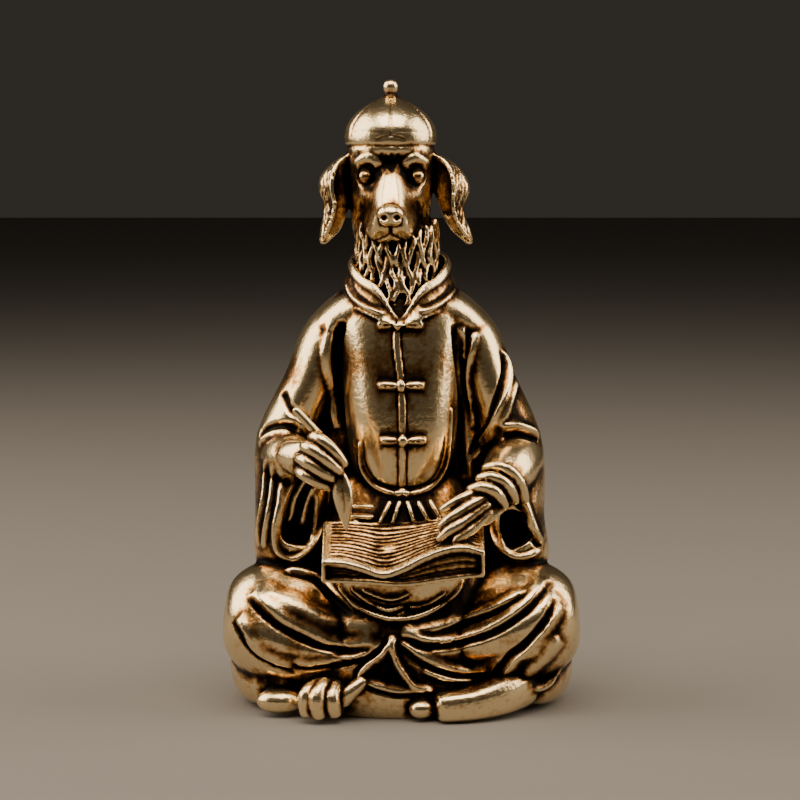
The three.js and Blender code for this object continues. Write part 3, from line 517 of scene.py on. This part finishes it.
def faceLines(clay):
    for s in (-1, 1):
        swell(clay, (0.5 * s, -3.1), (0.4, 0.36), -0.55)  # nostril
        press(clay, onFace([(0.62 * s, -3.05), (0.9 * s, -3.15), (1.0 * s, -3.4)]), 0.18, -0.25, fade=(0.1, 0.5))
        press(clay, onFace([(0, -4.4), (0.55 * s, -4.7), (1.35 * s, -4.95), (1.8 * s, -4.8)]), 0.2, -0.4)  # mouth
        press(clay, onFace([(1.05 * s, -2.75), (0.95 * s, -3.5), (0.4 * s, -3.8), (0, -3.85)]), 0.2, -0.2)
    press(clay, onFace([(0, -3.75), (0, -4.45)]), 0.2, -0.4, fade=(0.1, 0.1))


def fur(clay, spots, flow, length, wide, high):  # short combed strokes at the spots, along the flow at each
    for x, z in spots:
        lean, drop = flow(x, z)
        size = length * chance.uniform(0.7, 1.3)
        lean += 0.25 * chance.uniform(-1, 1)
        stroke = [(x, z), (x + lean * size * 0.5, z + drop * size * 0.5 + 0.04), (x + lean * size, z + drop * size)]
        press(clay, stroke, wide * chance.uniform(0.8, 1.2), high, fade=(0.3, 0.5))


def scattered(low, high, gap):  # spots about a gap apart in a box of the front view, slightly out of line
    spots = []
    for i in range(int((high[0] - low[0]) / gap) + 1):
        for j in range(int((high[1] - low[1]) / gap) + 1):
            spots.append((low[0] + gap * (i + 0.5 * (j % 2) + 0.35 * chance.uniform(-1, 1)),
                          low[1] + gap * (j + 0.35 * chance.uniform(-1, 1))))
    return spots


def headFur(clay):
    hx, _, hz = figure["head"]
    forehead = scattered((hx - 3.1, hz + 1.6), (hx + 3.1, hz + 2.4), 0.27)
    fur(clay, forehead, lambda x, z: (0.25 * (x - hx), -1), 0.4, 0.1, -0.06)
    between = scattered((hx - 0.7, hz + 0.1), (hx + 0.7, hz + 1.6), 0.27)
    fur(clay, between, lambda x, z: (0.5 * (x - hx), 1), 0.4, 0.1, -0.08)
    for s in (-1, 1):
        cheek = scattered((hx + s * 2.3 - 0.6, hz - 4.0), (hx + s * 2.3 + 0.6, hz - 1.6), 0.3)
        fur(clay, cheek, lambda x, z: (0.35 * s, -1), 0.5, 0.12, -0.09)


ears = {  # each ear from the front, from its root down: outer edge, leading ridge and inner edge
    "top": 43.5,
    "length": 7.4,
    "strokes": 44,  # of hair on each
    "left": {
        "outer": (-4.2, -5.5, -6.4, -6.5, -6.1, -6.2, -6.45, -6.6),
        "ridge": (-4.1, -5.0, -5.4, -5.45, -5.2, -5.4, -5.8, -6.35),
        "inner": (-3.0, -3.6, -3.9, -4.0, -4.1, -4.4, -4.8, -5.7),
    },
    "right": {
        "outer": (2.6, 4.2, 5.1, 5.4, 4.95, 5.05, 5.5, 5.8),
        "ridge": (2.4, 3.5, 3.95, 4.05, 4.0, 4.2, 4.8, 5.6),
        "inner": (1.3, 2.0, 2.3, 2.5, 2.9, 3.3, 3.9, 4.9),
    },
}


def ear(bm, name):
    shape = ears[name]
    top, length = ears["top"], ears["length"]
    flap = limb(bm, [(0, 0.3, top), (0, 0.3, top - length)], wide=1, deep=1, up=(1, 0, 0), blunt=3.5,
                sides=40, rows=40)
    for v in flap:
        t = min(max((top - v.co.z) / length, 0), 1)
        outer, ridge, inner = (float(along(shape[k], t)) for k in ("outer", "ridge", "inner"))
        depth = float(along((1.3, 1.9, 2.2, 2.2, 2.1, 1.9, 1.5, 1.0), t))
        forward = min(max(-(v.co.y - 0.3), 0), 1)
        across = (outer + inner) / 2 + v.co.x * abs(outer - inner) / 2
        v.co = (across + (ridge - across) * forward ** 1.6, 0.3 + (v.co.y - 0.3) * depth - 0.5 * t, v.co.z)


def earHair(clay):
    for name, s in (("left", -1), ("right", 1)):
        shape = ears[name]
        for k in range(ears["strokes"]):
            t = 0.1 + 0.8 * k / (ears["strokes"] - 1)
            outer, ridge = (float(along(shape[e], t)) for e in ("outer", "ridge"))
            x = ridge + (outer - ridge) * chance.uniform(0.3, 0.85)
            z = ears["top"] - ears["length"] * t
            press(clay, [(x, z), (x + 0.1 * s, z - 0.45), (x - 0.02 * s, z - 0.9)], 0.14, -0.1, fade=(0.3, 0.4))
        rim = [(float(along(shape["ridge"], t)), ears["top"] - ears["length"] * t)
               for t in np.linspace(0.06, 0.93, 12)]
        press(clay, rim, 0.28, 0.16, fade=(0.05, 0.05))


capShape = {
    "radius": 3.6,
    "knob": 0.62,
    "panels": 6,
    "dome": ((1, 0.12), (1.0, 0.7), (0.975, 1.25), (0.9, 1.8), (0.76, 2.4), (0.54, 3.0), (0.28, 3.5), (0.13, 3.85)),
    "seam": ((1, 0.55), (0.975, 1.25), (0.9, 1.8), (0.76, 2.4), (0.54, 3.0), (0.3, 3.45)),
    "arch": ((-0.34, 0.3), (-0.2, 0.55), (0, 0.66), (0.2, 0.55), (0.34, 0.3)),
}  # dome and seam: shares of the radius and heights above the brim; arch: turns in radians and heights


def cap(bm):
    radius, knob = capShape["radius"], capShape["knob"]
    profile = [(0, 0.1), (0.96 * radius, 0), (0.985 * radius, 0.03)]
    profile += [tuple(p) for p in smoothLine([(r * radius, z) for r, z in capShape["dome"]], 0.3)]
    middle = figure["height"] - figure["brim"] - knob
    for degrees in (-42, -20, 0, 20, 40, 65, 90):
        a = math.radians(degrees)
        profile.append((knob * math.cos(a) if degrees < 90 else 0, middle + knob * math.sin(a)))
    for v in turned(bm, profile, 120):
        v.co += Vector((figure["head"][0], figure["head"][1], figure["brim"]))


def capLines(clay):  # seams of the panels, a worn engraved band above the brim and a low arch in its middle
    hx, hy, _ = figure["head"]
    radius, brim, panels = capShape["radius"], figure["brim"], capShape["panels"]

    def onCap(turn, r, z):
        return hx + r * radius * math.sin(turn), hy - r * radius * math.cos(turn), brim + z
    for k in range(panels):
        seam = [onCap(k * 2 * math.pi / panels, r, z) for r, z in capShape["seam"]]
        press(clay, seam, 0.15, -0.14, "sharp", fade=(0.1, 0.25), facing=False)
    for k in range(panels):
        a = k * 2 * math.pi / panels
        band = [onCap(a + turn, 0.99, 0.95 + 0.06 * math.sin(6 * (a + turn))) for turn in np.linspace(0.06, 0.98, 9)]
        press(clay, band, 0.16, -0.045, "sharp", fade=(0.1, 0.1), facing=False)
    arch = [onCap(turn, 1, z) for turn, z in capShape["arch"]]
    press(clay, arch, 0.2, -0.06, "sharp", fade=(0.15, 0.15), facing=False)


def collarRolls(clay):
    for line in ([(-4.3, 33.0), (-3.85, 32.1), (-2.7, 31.3), (-1.3, 30.8)],
                 [(4.2, 32.6), (3.5, 31.9), (2.3, 31.2), (1.4, 31.0)]):
        press(clay, line, 0.3, 0.24, "ridge", fade=(0.1, 0.3))
        press(clay, [(x * 0.93, z + 0.42) for x, z in line], 0.2, -0.08, "ridge", fade=(0.1, 0.3))


def neck(bm):
    limb(bm, [(-0.15, 0.6, 30.4), (-0.25, 0.2, 33.4), (-0.4, 0.2, 36.0), (-0.6, 0.4, 39.6)],
         wide=[2.6, 2.8, 2.9, 2.9], deep=[3.0, 2.75, 2.65, 2.4], up=front, sides=40, rows=24)


beard = {
    "middle": (-0.34, 0.3),
    "radius": 2.9,
    "locks": 30,  # in each row
    "rows": (  # tops and feet under the jaw, then at the sides and the back
        (36.6, 34.0, 37.9, 36.0),
        (35.2, 32.4, 37.2, 34.6),
        (33.8, 31.4, 35.7, 33.2),
    ),
}


def neckLocks(bm):  # a beard of waving locks all round the neck, in overlapping rows
    middle, count = beard["middle"], beard["locks"]
    for row, (jawTop, jawFoot, sideTop, sideFoot) in enumerate(beard["rows"]):
        for i in range(count):
            turn = 2 * math.pi * (i + 0.5 * (row % 2) + 0.1 * chance.uniform(-1, 1)) / count
            side = min(1, abs(math.sin(turn / 2)) / 0.5)  # 0 under the jaw
            top = jawTop + (sideTop - jawTop) * side ** 2 + 0.3 * chance.uniform(-1, 1)
            foot = jawFoot + (sideFoot - jawFoot) * side ** 1.5 + 0.4 * chance.uniform(-1, 1)
            phase, swing = 2.5 * (i % 2) + chance.uniform(-0.6, 0.6), chance.uniform(0.03, 0.07)
            path = []
            for k in range(9):
                t = k / 8
                z = top + (foot - top) * t
                a = turn + swing * math.sin(phase + 2.8 * (top - z)) - 0.25 * math.sin(turn) * t * (1 - side)
                out = beard["radius"] + 0.2 * t + 0.08 * side + 0.75 * (1 - side) * min(max((34.2 - z) / 2.8, 0), 1)
                path.append((middle[0] + out * math.sin(a), middle[1] - out * math.cos(a), z))
            limb(bm, path, wide=[0.14, 0.2, 0.21, 0.19, 0.05], deep=[0.3, 0.32, 0.32, 0.3, 0.1],
                 up=(math.sin(turn), -math.cos(turn), 0), sides=8, rows=20, blunt=3)


collarShape = {
    "middle": (-0.15, 0.6),
    "inner": 3.25,  # radius
    "upper": (30.5, 32.7, 33.5, 34.3, 34.9, 35.2, 35.3, 35.4, 35.4),  # heights of its edges, from front to back
    "lower": (29.9, 30.5, 31.2, 31.8, 32.4, 32.5, 32.5, 32.5, 32.5),
    "section": ((0, 0), (0.5, 0), (0.35, 0.72), (0.56, 0.85), (0.45, 1.08), (0.12, 1.02), (0, 0)),
}


def collar(bm):
    x, y = collarShape["middle"]
    for v in turned(bm, [(collarShape["inner"] + r, h) for r, h in collarShape["section"]], 72):
        turn = math.atan2(v.co.x, -v.co.y)
        t = abs(turn) / math.pi
        low, top = along(collarShape["lower"], t), along(collarShape["upper"], t)
        radius = math.hypot(v.co.x, v.co.y) + 0.7 * (1 - v.co.z) + 0.75 * (1 - t) ** 2
        v.co = (x + radius * math.sin(turn), y - radius * math.cos(turn), low + (top - low) * v.co.z)


# Hands, brush and book

def brushHand(bm):
    limb(bm, [(-9.0, -4.6, 20.0), (-7.9, -6.2, 19.9), (-7.0, -7.0, 19.8), (-6.2, -7.4, 19.6)],
         wide=[1.3, 1.4, 1.5, 1.2], deep=[1.2, 1.0, 0.85, 0.7], up=front)
    for joints in (((-7.0, -7.3, 21.7), (-6.2, -8.2, 21.6), (-5.1, -8.5, 20.7), (-4.2, -8.2, 19.5)),
                   ((-7.6, -7.5, 21.0), (-6.9, -8.4, 20.9), (-5.6, -8.7, 20.0), (-4.5, -8.3, 19.0)),
                   ((-8.0, -7.2, 20.1), (-7.2, -8.3, 19.9), (-6.0, -8.5, 19.1), (-4.9, -8.1, 18.4)),
                   ((-8.0, -6.9, 19.1), (-7.3, -8.0, 18.8), (-6.2, -8.1, 18.2), (-5.4, -7.7, 17.8))):
        limb(bm, joints, wide=[0.45, 0.5, 0.45, 0.38])
    limb(bm, [(-8.2, -7.4, 23.9), (-4.6, -8.2, 20.1)], wide=0.34, blunt=8)  # handle of the brush


def bristles(bm):
    for side in (-1, 1):  # two halves with a groove between them
        limb(bm, [(-4.75 + 0.1 * side, -8.1, 19.3), (-4.45 + 0.26 * side, -8.2, 17.2), (-4.15, -8.3, 14.4)],
             wide=[0.26, 0.46, 0.1], deep=[0.3, 0.55, 0.1], blunt=3)


def restingHand(bm):
    limb(bm, [(7.8, -6.6, 17.1), (6.9, -7.2, 16.7), (5.9, -7.7, 16.1), (5.1, -8.0, 15.7)], wide=[1.1, 1.3, 1.4, 1.2],
         deep=[0.7, 0.55, 0.5, 0.4], up=(0, -0.9, 0.45))
    for joints in (((6.9, -7.3, 17.6), (5.7, -7.7, 17.4), (4.7, -7.9, 17.0), (3.9, -7.9, 16.6), (2.9, -7.8, 16.0)),
                   ((6.8, -7.7, 17.2), (5.5, -8.2, 16.7), (4.4, -8.6, 16.0), (3.5, -8.6, 15.4), (2.75, -8.4, 14.8)),
                   ((6.8, -7.9, 16.7), (5.5, -8.4, 15.9), (4.5, -8.9, 15.2), (3.5, -9.0, 14.6), (2.7, -8.8, 13.9)),
                   ((6.9, -7.9, 16.1), (5.8, -8.4, 15.2), (5.0, -8.9, 14.6), (4.3, -9.1, 14.1), (3.9, -9.1, 13.7))):
        limb(bm, joints, wide=[0.36, 0.46, 0.46, 0.42, 0.36])
    for joints in (((5.0, -7.3, 17.6), (6.2, -8.0, 17.9), (7.3, -8.0, 17.4), (8.0, -7.2, 16.1)),
                   ((5.7, -6.8, 18.4), (7.0, -7.5, 18.6), (8.2, -7.3, 17.8), (8.8, -6.5, 16.4)),
                   ((6.2, -5.9, 19.1), (7.7, -6.7, 19.3), (9.0, -6.5, 18.2), (9.6, -5.9, 16.4))):
        limb(bm, joints, wide=[0.4, 0.46, 0.46, 0.4])


book = {
    "farEdge": (-5.9, 12.85),  # y and z of the edge that lies against the jacket
    "side": (-6.05, 6.3),      # left and right ends
    "depth": 4.6,
    "slope": 31,               # degrees down towards the front
    "under": (0.3, 0.2, 0, 0.4, 0.75),                             # cover along the front, left to right
    "top": (2.0, 1.95, 1.55, 1.05, 1.55, 2.35, 2.95, 3.15, 2.75),  # open page along the front
    "farTop": (2.15, 2.2, 2.15, 2.05, 2.1, 2.2, 2.4, 2.5, 2.4),    # open page along the far edge
    "setBack": 0.14,           # how far the leaves stand back from the cover's front edge
    "rim": 0.34,               # cover that is left round them
    "lines": 11,               # on the open page
    "leaves": 3,               # grooves between leaves along the front
}


def onBook(x, step, height):  # a point at a step from the book's far edge down its slope
    slope = math.radians(book["slope"])
    y, z = book["farEdge"]
    return x, y - step * math.cos(slope), z + height - step * math.sin(slope)


def pageHeight(t, step):
    f = (step / book["depth"]) ** 0.8
    return float(along(book["top"], t)) * f + float(along(book["farTop"], t)) * (1 - f)


def slab(bm, inset, start, thick):  # a stretch of the book's depth, within its outline by an inset
    left, right = book["side"]
    across = np.linspace(left + inset, right - inset, 40)
    at = (across - left) / (right - left)
    rings = []
    for step in np.linspace(start, start + thick, 24 if thick > 1 else 2):
        top = [(x, pageHeight(t, step) - inset) for x, t in zip(across, at)]
        base = [(x, float(along(book["under"], t)) + inset) for x, t in zip(across[::-1], at[::-1])]
        rings.append([bm.verts.new(onBook(x, step, h)) for x, h in top + base])
    bm.faces.new(rings[0])
    bm.faces.new(rings[-1])
    for a, b in zip(rings, rings[1:]):
        edges = [bm.edges.get(pair) or bm.edges.new(pair)
                 for ring in (a, b) for pair in zip(ring, ring[1:] + ring[:1])]
        bmesh.ops.bridge_loops(bm, edges=edges)


def bookBlock(bm):
    slab(bm, 0, 0, book["depth"])


def bookGap(bm):
    slab(bm, book["rim"], book["depth"] - book["setBack"], 2 * book["setBack"])


def leaves(clay):  # page lines across the open book, and the edges of the leaves along its front
    left, right = book["side"]
    for k in range(book["lines"]):
        step = 0.35 + 0.355 * k
        line = []
        for t in np.linspace(0.05, 0.97, 14):
            sway = 0.05 * math.sin(9 * t + 1.7 * k) + 0.04 * chance.uniform(-1, 1)
            line.append(onBook(left + (right - left) * t, step + sway, pageHeight(t, step)))
        press(clay, line, 0.13, -0.13, "sharp", fade=(0.03, 0.03), facing=False)
    cover = 0.4
    for k in range(book["leaves"]):
        line = []
        for t in np.linspace(0.05, 0.95, 12):
            low, top = float(along(book["under"], t)) + cover, float(along(book["top"], t)) - cover
            height = low + (top - low) * (k + 0.75) / (book["leaves"] + 0.5)
            line.append(onBook(left + (right - left) * t, book["depth"] - book["setBack"], height))
        press(clay, line, 0.1, -0.12, "sharp", fade=(0.03, 0.03), facing=False)


def pleats(bm):  # gathered cloth that shows between the jacket and the book
    ends = (
        ((-0.9, 16.4), (-1.7, 14.8)), ((-0.15, 16.4), (-0.7, 14.8)), ((0.45, 16.4), (1.0, 14.8)),
        ((1.3, 16.4), (2.1, 14.9)), ((2.2, 16.5), (3.0, 15.2)), ((-3.9, 16.1), (-2.1, 16.1)),
        ((-4.2, 15.3), (-2.1, 15.3)),
    )
    for (x0, z0), (x1, z1) in ends:
        limb(bm, [(x0, -5.1, z0), ((x0 + x1) / 2, -5.55, (z0 + z1) / 2), (x1, -5.7, z1)],
             wide=0.22, deep=0.5, up=front, sides=10, rows=10)


# Putting the casting together

print("body")
dressed = fused(made("body", lambda bm: (trunk(bm), sleeves(bm), legs(bm))), figure["bodyVoxel"])
cutBy(dressed, made("mouths", sleeveMouths))
dressed = fused(dressed, figure["bodyVoxel"])
clay = takeClay(dressed)
relax(clay, 3)
dressFolds(clay)
relax(clay, 1)
dressed = giveClay(clay)
trim = made("trim", lambda bm: cords(bm, takeClay(dressed)))

print("head")
face = fused(made("face", skull), figure["skullVoxel"])
clay = takeClay(face)
muzzleForm(clay)
face = fused(giveClay(clay), figure["faceVoxel"])
clay = takeClay(face)
relax(clay, 14)
faceCarving(clay)
face = together("face", [giveClay(clay), made("faceParts", faceParts)])
face = fused(face, figure["faceVoxel"])
clay = takeClay(face)
relax(clay, 1)
faceLines(clay)
headFur(clay)
face = giveClay(clay)

print("book")
pages = cutBy(made("pages", bookBlock), made("gap", bookGap))

print("joining")
parts = [
    dressed,
    trim,
    face,
    pages,
    made("cap", cap),
    made("ears", lambda bm: (ear(bm, "left"), ear(bm, "right"))),
    made("neck", lambda bm: (neck(bm), neckLocks(bm))),
    made("collar", collar),
    made("hands", lambda bm: (brushHand(bm), bristles(bm), restingHand(bm))),
    made("lower", lambda bm: (frontFlap(bm), lowerFront(bm), pleats(bm))),
]
casting = fused(together("casting", parts), figure["fineVoxel"])
print("skin", len(casting.data.polygons))
clay = takeClay(casting)
relax(clay, 2)
fastenings(clay)
leaves(clay)
earHair(clay)
capLines(clay)
collarRolls(clay)
flapLines(clay)
casting = giveClay(clay)


# Underside cut flat, fewer faces, and into the model's frame

def cutFlat(piece):
    bm = bmesh.new()
    bm.from_mesh(piece.data)
    cut = bmesh.ops.bisect_plane(bm, geom=bm.verts[:] + bm.edges[:] + bm.faces[:], plane_co=(0, 0, 0),
                                 plane_no=(0, 0, -1), clear_outer=True)
    edge = [e for e in cut["geom_cut"] if isinstance(e, bmesh.types.BMEdge)]
    bmesh.ops.holes_fill(bm, edges=edge, sides=0)
    bm.to_mesh(piece.data)
    bm.free()


def thinned(piece, faces):
    thin = piece.modifiers.new("fewer", "DECIMATE")
    thin.ratio = min(1, faces / sum(len(p.vertices) - 2 for p in piece.data.polygons))
    return settled(piece)


def placed(piece):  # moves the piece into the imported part's box, in metres, and returns by how many millimetres
    low, high = (Vector(c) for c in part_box("dog_figure"))
    points = np.empty(3 * len(piece.data.vertices))
    piece.data.vertices.foreach_get("co", points)
    points = points.reshape(-1, 3)
    middle = (points.min(0) + points.max(0)) / 2
    middle[2] = points[:, 2].min()
    points = (points - middle) * millimetre
    points[:, 0] += (low.x + high.x) / 2
    points[:, 1] += (low.y + high.y) / 2
    points[:, 2] += low.z
    piece.data.vertices.foreach_set("co", points.ravel())
    piece.data.update()
    return -middle


cutFlat(casting)
shift = placed(thinned(casting, figure["faces"]))
casting.data.polygons.foreach_set("use_smooth", [True] * len(casting.data.polygons))
print("casting", len(casting.data.polygons), "faces", [round(float(v), 2) for v in shift])


# Patina and painted shade: how far each point stands out from its surroundings and how open they are, with painted
# shade on the lower parts and in the eyes

shadeAndPatina = {
    "level": 0.46,                                # of an open, even surface
    "relief": 0.35,
    "scales": ((3, 0.5, 0.02), (20, 0.5, 0.09)),  # rounds of smoothing, weight and height in mm, fine and broad
    "rays": 16,
    "reach": 2.6,                                 # of each ray, in mm
    "shut": (0.52, 1.2),                          # openness under which places are darkened, and how strongly: dark patina kept in hollows, and painted shade where parts close over each other
    "heights": (9, 17, 28, 31),                   # in mm
    "shadeByHeight": (-0.075, -0.04, -0.02, 0.03),     # painted shade: lower parts darker, upper parts lighter
    "dark": [(s * eye, -2.9, 0, 0.9, 0.36) for s, eye in eyes] + [(0, -3.4, 0.6, 1.5, 0.34)],
}  # dark: painted shade in the eyes and the dip between them, as a place on the head, a radius and a depth


def openness(clay, rays, reach):  # mean free length of short rays out of each point, as a share of their reach
    normals = clay["normals"]
    helper = np.where(np.abs(normals[:, 2:]) > 0.9, (1.0, 0, 0), (0, 0, 1.0))
    side = np.cross(normals, helper)
    side /= np.linalg.norm(side, axis=1)[:, None]
    over = np.cross(normals, side)
    cast = clay["tree"].ray_cast
    clear = 0.03 * millimetre
    starts = (clay["places"] + clear * normals).tolist()
    free = np.zeros(len(starts))
    for k in range(rays):
        low, turn = (k + 0.5) / rays, k * math.pi * (3 - 5 ** 0.5)  # steps of the golden angle
        out = math.sqrt(low) * (math.cos(turn) * side + math.sin(turn) * over) + math.sqrt(1 - low) * normals
        hits = (cast(start, way, reach)[3] for start, way in zip(starts, out.tolist()))
        free += [reach if far is None else far for far in hits]
    return free / (rays * reach)


def shadeAndPatinaMask(piece):
    clay = takeClay(piece)
    smooth = clay["places"].copy()
    relief = np.zeros(len(smooth))
    done = 0
    for rounds, weight, size in shadeAndPatina["scales"]:
        for _ in range(rounds - done):
            smooth = averaged(clay, smooth)
        done = rounds
        height = ((clay["places"] - smooth) * clay["normals"]).sum(1) / millimetre
        relief += weight * np.tanh(height / size)
    # dark patina kept in hollows, and painted shade where parts close over each other
    room = openness(clay, shadeAndPatina["rays"], shadeAndPatina["reach"] * millimetre)
    limit, strength = shadeAndPatina["shut"]
    values = shadeAndPatina["level"] + shadeAndPatina["relief"] * relief - strength * np.clip(limit - room, 0, None)
    # painted shade: the lower parts darkened and the upper parts lightened, by height
    values += np.interp(clay["places"][:, 2] / millimetre, shadeAndPatina["heights"], shadeAndPatina["shadeByHeight"])
    # painted shade in the eyes and the dip between them
    for x, y, z, reach, dark in shadeAndPatina["dark"]:
        off = clay["places"] / millimetre - np.add(onHead((x, y, z)), shift)
        values -= dark * bump(np.minimum(np.linalg.norm(off, axis=1) / reach, 1))
    values = 0.5 * values + 0.5 * averaged(clay, values[:, None])[:, 0]
    layer = piece.data.attributes.new("wearAndShadeValue", "FLOAT", "POINT")
    layer.data.foreach_set("value", values.astype(np.float32))


print("shadeAndPatina")
shadeAndPatinaMask(casting)


# Material

def linear(hexColour):
    channels = [int(hexColour[k:k + 2], 16) / 255 for k in (1, 3, 5)]
    return [c / 12.92 if c <= 0.04045 else ((c + 0.055) / 1.055) ** 2.4 for c in channels] + [1]


def addNode(tree, kind, settings=None, **links):
    node = tree.nodes.new(kind)
    for name, value in (settings or {}).items():
        if isinstance(name, int) or name in node.inputs:
            node.inputs[name].default_value = value
        else:
            setattr(node, name, value)
    for name, source in links.items():
        socket = node.inputs[int(name[1:])] if name[0] == "_" else node.inputs[name]
        tree.links.new(source, socket)
    return node


brass = {  # darkened in a patina bath and rubbed back: recesses stay almost black, high points are bright; the value that picks the colour also carries painted shade
    "ramp": ((0.42, "#080605"), (0.57, "#18110b"), (0.68, "#46301d"), (0.76, "#7c5933"), (0.86, "#cb9c62"),
             (0.97, "#f6dcaa")),
    "clouds": (0.0022, 0.26),   # size in metres, and share in the patina
    "pits": (0.00035, 0.32),
    "wearAndShade": (0.55, 0.85),       # value of recesses and of high points, patina and painted shade together
    "roughness": (0.45, 0.24),  # of both
    "grain": (0.00004, 0.7),    # depth in metres, and strength
}


def antiqueBrass():
    material = bpy.data.materials.new("antiqueBrass")
    material.use_nodes = True
    tree = material.node_tree
    tree.nodes.clear()
    output = addNode(tree, "ShaderNodeOutputMaterial")
    shader = addNode(tree, "ShaderNodeBsdfPrincipled", {"Metallic": 1.0})
    tree.links.new(shader.outputs["BSDF"], output.inputs["Surface"])
    place = addNode(tree, "ShaderNodeTexCoord").outputs["Object"]
    wearAndShadeValue = addNode(tree, "ShaderNodeAttribute", {"attribute_name": "wearAndShadeValue"}).outputs["Fac"]
    cloudSize, cloudShare = brass["clouds"]
    pitSize, pitShare = brass["pits"]
    cloud = addNode(tree, "ShaderNodeTexNoise", {"Scale": 1 / cloudSize, "Detail": 4.0, "Roughness": 0.6},
                    Vector=place)
    pits = addNode(tree, "ShaderNodeTexNoise", {"Scale": 1 / pitSize, "Detail": 2.0}, Vector=place)
    specks = addNode(tree, "ShaderNodeMath", {"operation": "MULTIPLY_ADD", 1: pitShare}, _0=pits.outputs["Fac"],
                     _2=wearAndShadeValue)
    # patina, wear and painted shade together, with mottling and specks, pick the colour and roughness
    wearAndShade = addNode(tree, "ShaderNodeMath", {"operation": "MULTIPLY_ADD", 1: cloudShare}, _0=cloud.outputs["Fac"],
                   _2=specks.outputs[0])
    ramp = addNode(tree, "ShaderNodeValToRGB", Fac=wearAndShade.outputs[0])
    stops = ramp.color_ramp.elements
    (lowest, dark), *between, (highest, bright) = brass["ramp"]
    stops[0].position, stops[0].color = lowest, linear(dark)
    stops[1].position, stops[1].color = highest, linear(bright)
    for at, colour in between:
        stops.new(at).color = linear(colour)
    recess, high = brass["wearAndShade"]
    dull, polished = brass["roughness"]
    rough = addNode(tree, "ShaderNodeMapRange", {"From Min": recess, "From Max": high, "To Min": dull,
                                                 "To Max": polished}, Value=wearAndShade.outputs[0])
    depth, strength = brass["grain"]
    grain = addNode(tree, "ShaderNodeBump", {"Strength": strength, "Distance": depth}, Height=pits.outputs["Fac"])
    tree.links.new(ramp.outputs["Color"], shader.inputs["Base Color"])
    tree.links.new(rough.outputs["Result"], shader.inputs["Roughness"])
    tree.links.new(grain.outputs["Normal"], shader.inputs["Normal"])
    return material


casting.data.materials.clear()
casting.data.materials.append(antiqueBrass())
casting.name = "dogFigure"
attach(casting, "root")
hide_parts("dog_figure")


# Stage, light and camera

stage = {
    "floor": "#77736e",
    "floorHalf": 1.5,
    "light": "#fff0dc",
    "aim": (0, 0, 0.036),
    "lamps": (  # name, place and size in metres, and watts
        ("leftLight", (-0.22, 0, 0.16), (0.26, 0.26), 0.95),
        ("rightLight", (0.23, 0, 0.15), (0.2, 0.26), 0.65),
        ("topLight", (0, -0.1, 0.28), (0.26, 0.2), 0.95),
    ),
    "surround": ("#5c564f", 0.3),
    "lens": 108.5,
    "camera": (-0.00012, -0.190, 0.043),
    "tilt": 5.78,  # degrees down
}


def studio():
    bm = bmesh.new()
    bmesh.ops.create_grid(bm, x_segments=1, y_segments=1, size=stage["floorHalf"])
    mesh = bpy.data.meshes.new("floor")
    bm.to_mesh(mesh)
    bm.free()
    floor = bpy.data.objects.new("floor", mesh)
    bpy.context.collection.objects.link(floor)
    paper = bpy.data.materials.new("palePaper")
    paper.use_nodes = True
    shader = paper.node_tree.nodes["Principled BSDF"]
    shader.inputs["Base Color"].default_value = linear(stage["floor"])
    shader.inputs["Roughness"].default_value = 0.8
    floor.data.materials.append(paper)
    for name, place, size, watts in stage["lamps"]:
        data = bpy.data.lights.new(name, "AREA")
        data.shape = "RECTANGLE"
        data.size, data.size_y = size
        data.energy = watts
        data.color = linear(stage["light"])[:3]
        lamp = bpy.data.objects.new(name, data)
        lamp.location = place
        lamp.rotation_euler = (Vector(stage["aim"]) - Vector(place)).to_track_quat("-Z", "Y").to_euler()
        bpy.context.collection.objects.link(lamp)
    world = bpy.data.worlds.new("studio")
    bpy.context.scene.world = world
    world.use_nodes = True
    surround = world.node_tree.nodes["Background"].inputs
    colour, strength = stage["surround"]
    surround["Color"].default_value = linear(colour)
    surround["Strength"].default_value = strength
    data = bpy.data.cameras.new("camera")
    data.lens = stage["lens"]
    data.sensor_width = 36
    data.clip_start = 0.01
    camera = bpy.data.objects.new("camera", data)
    x, y, z = stage["camera"]
    camera.location = (x + shift[0] * millimetre, y + shift[1] * millimetre, z)
    camera.rotation_euler = (math.radians(90 - stage["tilt"]), 0, 0)
    bpy.context.collection.objects.link(camera)
    bpy.context.scene.camera = camera


studio()
